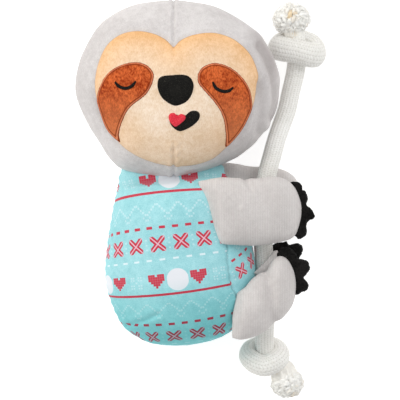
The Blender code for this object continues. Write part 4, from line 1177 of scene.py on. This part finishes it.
limbs = {  # layer 1 is in front of the rope, -1 behind it; creases: shares, then depth and width in mm
    "left_arm": {
        "layer": 1, "root": (0.748, 0.483), "turn": 0.0, "reach": 56.4 * mm, "width": 41.2 * mm,
        "thickness": 23.4 * mm, "ribs": armRibShares, "rises": frontRiseShares, "swells": frontSwellShares,
        "claws": armClawShares, "clawPlace": (1.00, 0.02), "clawTurn": -4.0, "clawSpan": 34.5 * mm,
        "clawReach": 7.5 * mm,
        "creases": [([(0.10, 0.36), (0.30, 0.10)], 0.8, 1.3), ([(0.36, 0.50), (0.44, 0.34)], 0.8, 1.3)],
    },
    "right_arm": {
        "layer": -1, "root": (0.862, 0.512), "turn": -7.0, "reach": 56.0 * mm, "width": 37.5 * mm,
        "thickness": 23.0 * mm, "ribs": armRibShares, "rises": backRiseShares, "swells": backSwellShares,
        "claws": armClawShares, "clawPlace": (0.98, -0.12), "clawTurn": -2.0, "clawSpan": 27.0 * mm,
        "clawReach": 6.2 * mm, "creases": [],
    },
    "left_leg": {
        "layer": 1, "root": (0.184, 0.680), "turn": 34.7, "reach": 40.9 * mm, "width": 31.0 * mm,
        "thickness": 21.0 * mm, "ribs": frontLegRibShares, "rises": frontLegRiseShares,
        "swells": frontLegSwellShares,
        "welt": [  # the strip beside the upper half: places and half its thickness, in mm
            (46.6, -11.2, 40.6, 0.5), (50.2, -8.3, 40.6, 0.8), (53.9, -4.8, 40.6, 0.9),
            (57.0, -1.7, 40.8, 1.3), (59.6, 0.5, 41.0, 2.2), (61.6, 1.4, 41.0, 1.6),
        ],
        "claws": legClawShares, "clawPlace": (1.06, 0.10), "clawTurn": 4.0, "clawSpan": 30.0 * mm,
        "clawReach": 8.5 * mm,
        "creases": [([(0.74, 0.34), (0.64, 0.02), (0.50, -0.34), (0.36, -0.60)], 2.7, 3.4),
                    ([(0.72, 0.27), (0.70, 0.20), (0.78, 0.10)], 0.9, 1.2),
                    ([(0.30, 0.30), (0.36, -0.10)], 0.5, 2.4)],
    },
    "right_leg": {
        "layer": -1, "root": (0.215, 0.610), "turn": 38.0, "reach": 40.9 * mm, "width": 26.0 * mm,
        "thickness": 19.0 * mm, "ribs": legRibShares, "rises": backRiseShares, "swells": backSwellShares,
        "claws": backLegClawShares, "clawPlace": (1.06, 0.14), "clawTurn": 6.0, "clawSpan": 29.0 * mm,
        "clawReach": 8.0 * mm, "creases": [],
    },
}
knitLook = {"dark": "CBC6C4", "light": "DBD7D5", "pile": 0.6 * mm, "tuft": 3 * mm, "patch": 22 * mm,
            "bump": 0.4, "depth": 0.4 * mm, "rough": 0.92, "gloss": 0.12, "sheen": 0.3}
pileLook = {"dark": "030303", "light": "1F1D1C", "pile": 0.9 * mm, "tuft": 1.9 * mm, "patch": 9 * mm,
            "bump": 1.0, "depth": 1.0 * mm, "rough": 0.85, "gloss": 0.16, "sheen": 0.08}


def knitPaint(add, colour, height):  # ribs of a fine knit across the limb, with its stitches along them and painted shade between the ribs
    weave = weaveOf(add)
    waver = add("Math MULTIPLY_ADD", height, 0.5, weave[0])
    ribs = add("Math SINE", add("Math MULTIPLY", waver, math.tau / 1.05))
    stitches = add("Math SINE", add("Math MULTIPLY", weave[1], math.tau / 0.9))
    # painted shade: darker in the valleys between the ribs
    shade = add("Math MULTIPLY_ADD", ribs, 0.5, 0.5)
    colour = tint(add, colour, "ADA5A3", shade, 0.30)
    relief = add("Math MULTIPLY_ADD", ribs, -0.45, add("Math MULTIPLY", stitches, 0.12))
    return colour, add("Math ADD", relief, height)


greyKnit = fabric("grey ribbed knit", knitLook, knitPaint)  # narrow ribs with painted shade between them, soft and matt
blackPile = fabric("black curly pile", pileLook)  # deep black with small curls


sleeveCloth = {"columns": 110, "bumps": 0.5 * mm, "ripples": 0.2 * mm, "lip": 0.5 * mm, "sunk": 2.5 * mm}
clawPile = {"spacing": 0.5 * mm, "layers": 13, "rounding": 2.3 * mm, "half": 3.0 * mm, "crown": 0.5 * mm,
            "curls": 0.75 * mm, "fineCurls": 0.55 * mm}
weltDepth = 3.5 * mm


def limbFrame(limb):  # its root, its direction and the direction across it
    rootAlong, rootAcross = limb["root"]
    root = torsoBottom + torsoAxis * (torso["length"] * rootAlong)
    root = root + torsoSide * (torso["halfWidth"] * rootAcross)
    turn = math.radians(limb["turn"])
    along = np.array((math.cos(turn), math.sin(turn), 0.0))
    root[2] = grip["height"] + limb["layer"] * (ropeRadius + grip["gap"] + limb["thickness"] / 2)
    return root, along, np.cross(up, along)


def addWelt(piece, welt):  # the lower half of the sleeve, where it shows as a strip beside the upper half
    route = evenPoints(smoothPoints(np.array(welt) * mm, 8, closed=False), 0.6 * mm)
    rows = len(route)
    ahead = unit(np.gradient(route[:, :2], axis=0))
    inwards = np.column_stack([ahead[:, 1], -ahead[:, 0], np.zeros(rows)])
    bow = np.sin(np.linspace(0.02, 0.85, rows) * math.pi)
    under = weltDepth * bow[:, None]  # its reach below the upper half
    centres = route[:, :3] + inwards * under
    sides = 16
    angles = circle(sides)
    ring = np.cos(angles)[None, :, None] * (inwards * (under + route[:, 3:4]))[:, None, :]
    ring = ring + np.sin(angles)[None, :, None] * (up * route[:, 3:4])[:, None, :]
    points = (centres[:, None, :] + ring).reshape(-1, 3)
    points = np.vstack([points, centres[:1], centres[-1:]])
    joinTo(piece, outward(meshPiece("strip", points, tubeFaces(rows, sides), None, {"weave": points / mm})))


def makeSleeve(name, limb):
    root, along, across = limbFrame(limb)
    reach, width, thickness = limb["reach"], limb["width"], limb["thickness"]
    rows = [(*rib, rise, swell) for rib, rise, swell in zip(limb["ribs"], limb["rises"], limb["swells"])]
    columns = sleeveCloth["columns"]
    cosine, sine = ovalShape(circle(columns))
    rings, centres, weave = [], [], []
    for high1, high2, low1, low2, rise, swell in smoothPoints(rows, 14, closed=False):
        high = root + along * (high1 * reach) + across * (high2 * width)
        low = root + along * (low1 * reach) + across * (low2 * width)
        centres.append((high + low) / 2 + up * (rise * thickness))
        half, rising = (high - low) / 2, up * swell * thickness
        rings.append(centres[-1] + np.multiply.outer(cosine, half) + np.multiply.outer(sine, rising))
        weave.append(np.column_stack([rings[-1][:, 0] / mm, runLength(rings[-1]) / mm, np.zeros(columns)]))
    rootRing, rootCentre = rings[0], centres[0]
    for share, depth in ((0.85, 0.5), (0.55, 1.0), (0.25, 1.2)):  # the root is closed where it is sewn on
        rings.insert(0, rootCentre + (rootRing - rootCentre) * share - along * (depth * mm))
        centres.insert(0, rootCentre)
        weave.insert(0, weave[0])
    points = np.vstack([*rings, rootCentre - along * (1.25 * mm), centres[-1]])
    weave = np.vstack([*weave, weave[0][0], weave[-1][0]])
    middle = np.mean(centres, axis=0)
    out = unit(points - np.vstack([np.repeat(centres, columns, axis=0), middle, middle]))
    seed = limb["turn"]
    shift = sleeveCloth["bumps"] * lumps(points, 15 * mm, seed + 2)
    shift += sleeveCloth["ripples"] * lumps(points, 6 * mm, seed + 9)
    flat = points - root
    local = np.column_stack([flat @ along, flat @ across])
    onFront = flat[:, 2] * limb["layer"] > -0.45 * thickness
    for crease, depth, spread in limb["creases"]:
        away = lineDistance(local, np.array(crease) * (reach, width))
        shift += np.where(onFront, seamShape(away, depth * mm, spread * mm), 0)
    shift += sleeveCloth["lip"] * fade(torsoDepth(points) + 3.2 * mm, 2.4 * mm)  # it stands up at its seam
    points = points + out * shift[:, None]
    points[:, 2] = np.maximum(points[:, 2], 0.4 * mm)
    piece = meshPiece(name + "_cover", points, tubeFaces(len(rings), columns), middle, {"weave": weave})
    dropInside(piece, sleeveCloth["sunk"])
    if "welt" in limb:
        addWelt(piece, limb["welt"])
    dress(piece, greyKnit, name, [name + "_sleeve", name + "_filling"])


def makeClaws(name, limb):
    root, along, across = limbFrame(limb)
    alongShare, acrossShare = limb["clawPlace"]
    base = root + along * (alongShare * limb["reach"]) + across * (acrossShare * limb["width"])
    base = base + up * (limb["rises"][-1] * limb["thickness"])
    turn = math.radians(limb["turn"] + limb["clawTurn"])
    forward = np.array((math.cos(turn), math.sin(turn), 0.0))
    sideways = np.cross(up, forward)
    line = evenPoints(smoothPoints(limb["claws"], 8), 0.02, closed=True)
    line = evenPoints(line * (limb["clawSpan"], limb["clawReach"]), clawPile["spacing"], closed=True)
    middle = line.mean(axis=0) * 0.9
    away = line - middle
    length = np.linalg.norm(away, axis=1)[:, None]
    layers, rings = clawPile["layers"], []
    for k in range(layers):  # a rounded edge, from below to above
        turn = math.pi * (k + 0.5) / layers - math.pi / 2
        inset = clawPile["rounding"] * (1 - math.cos(turn) ** 0.7)
        ring = middle + away * np.maximum(1 - inset / length, 0.1)
        rings.append(base + np.multiply.outer(ring[:, 0], sideways) + np.multiply.outer(ring[:, 1], forward)
                     + up * (clawPile["half"] * math.sin(turn)))

    def shrunk(ring, share, sign):  # the crowned top or underside
        centre = ring.mean(axis=0)
        return centre + (ring - centre) * share + up * (sign * clawPile["crown"] * (1 - share))

    below = [shrunk(rings[0], share, -1) for share in (0.25, 0.5, 0.75)]
    rings = below + rings + [shrunk(rings[-1], share, 1) for share in (0.75, 0.5, 0.25)]
    points = np.vstack([*rings, rings[0].mean(axis=0), rings[-1].mean(axis=0)])
    out = unit(points - (base + forward * middle[1]))
    curls = clawPile["curls"] * lumps(points, 2.7 * mm, 4.0)
    curls += clawPile["fineCurls"] * lumps(points, 1.2 * mm, 8.0)
    points = points + out * curls[:, None]
    piece = outward(meshPiece(name + "_claw_cover", points, tubeFaces(len(rings), len(line))))
    dress(piece, blackPile, name, [name + "_claws"])


for name, limb in limbs.items():
    makeSleeve(name, limb)
    makeClaws(name, limb)
print("limbs and claws")


def plain(value):  # plain lists of numbers for the file
    if isinstance(value, dict):
        return {key: plain(item) for key, item in value.items()}
    if isinstance(value, (int, float, str)):
        return value
    return [plain(item) for item in value]


{"cad": plain(cadBox), "visual": plain(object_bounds())}
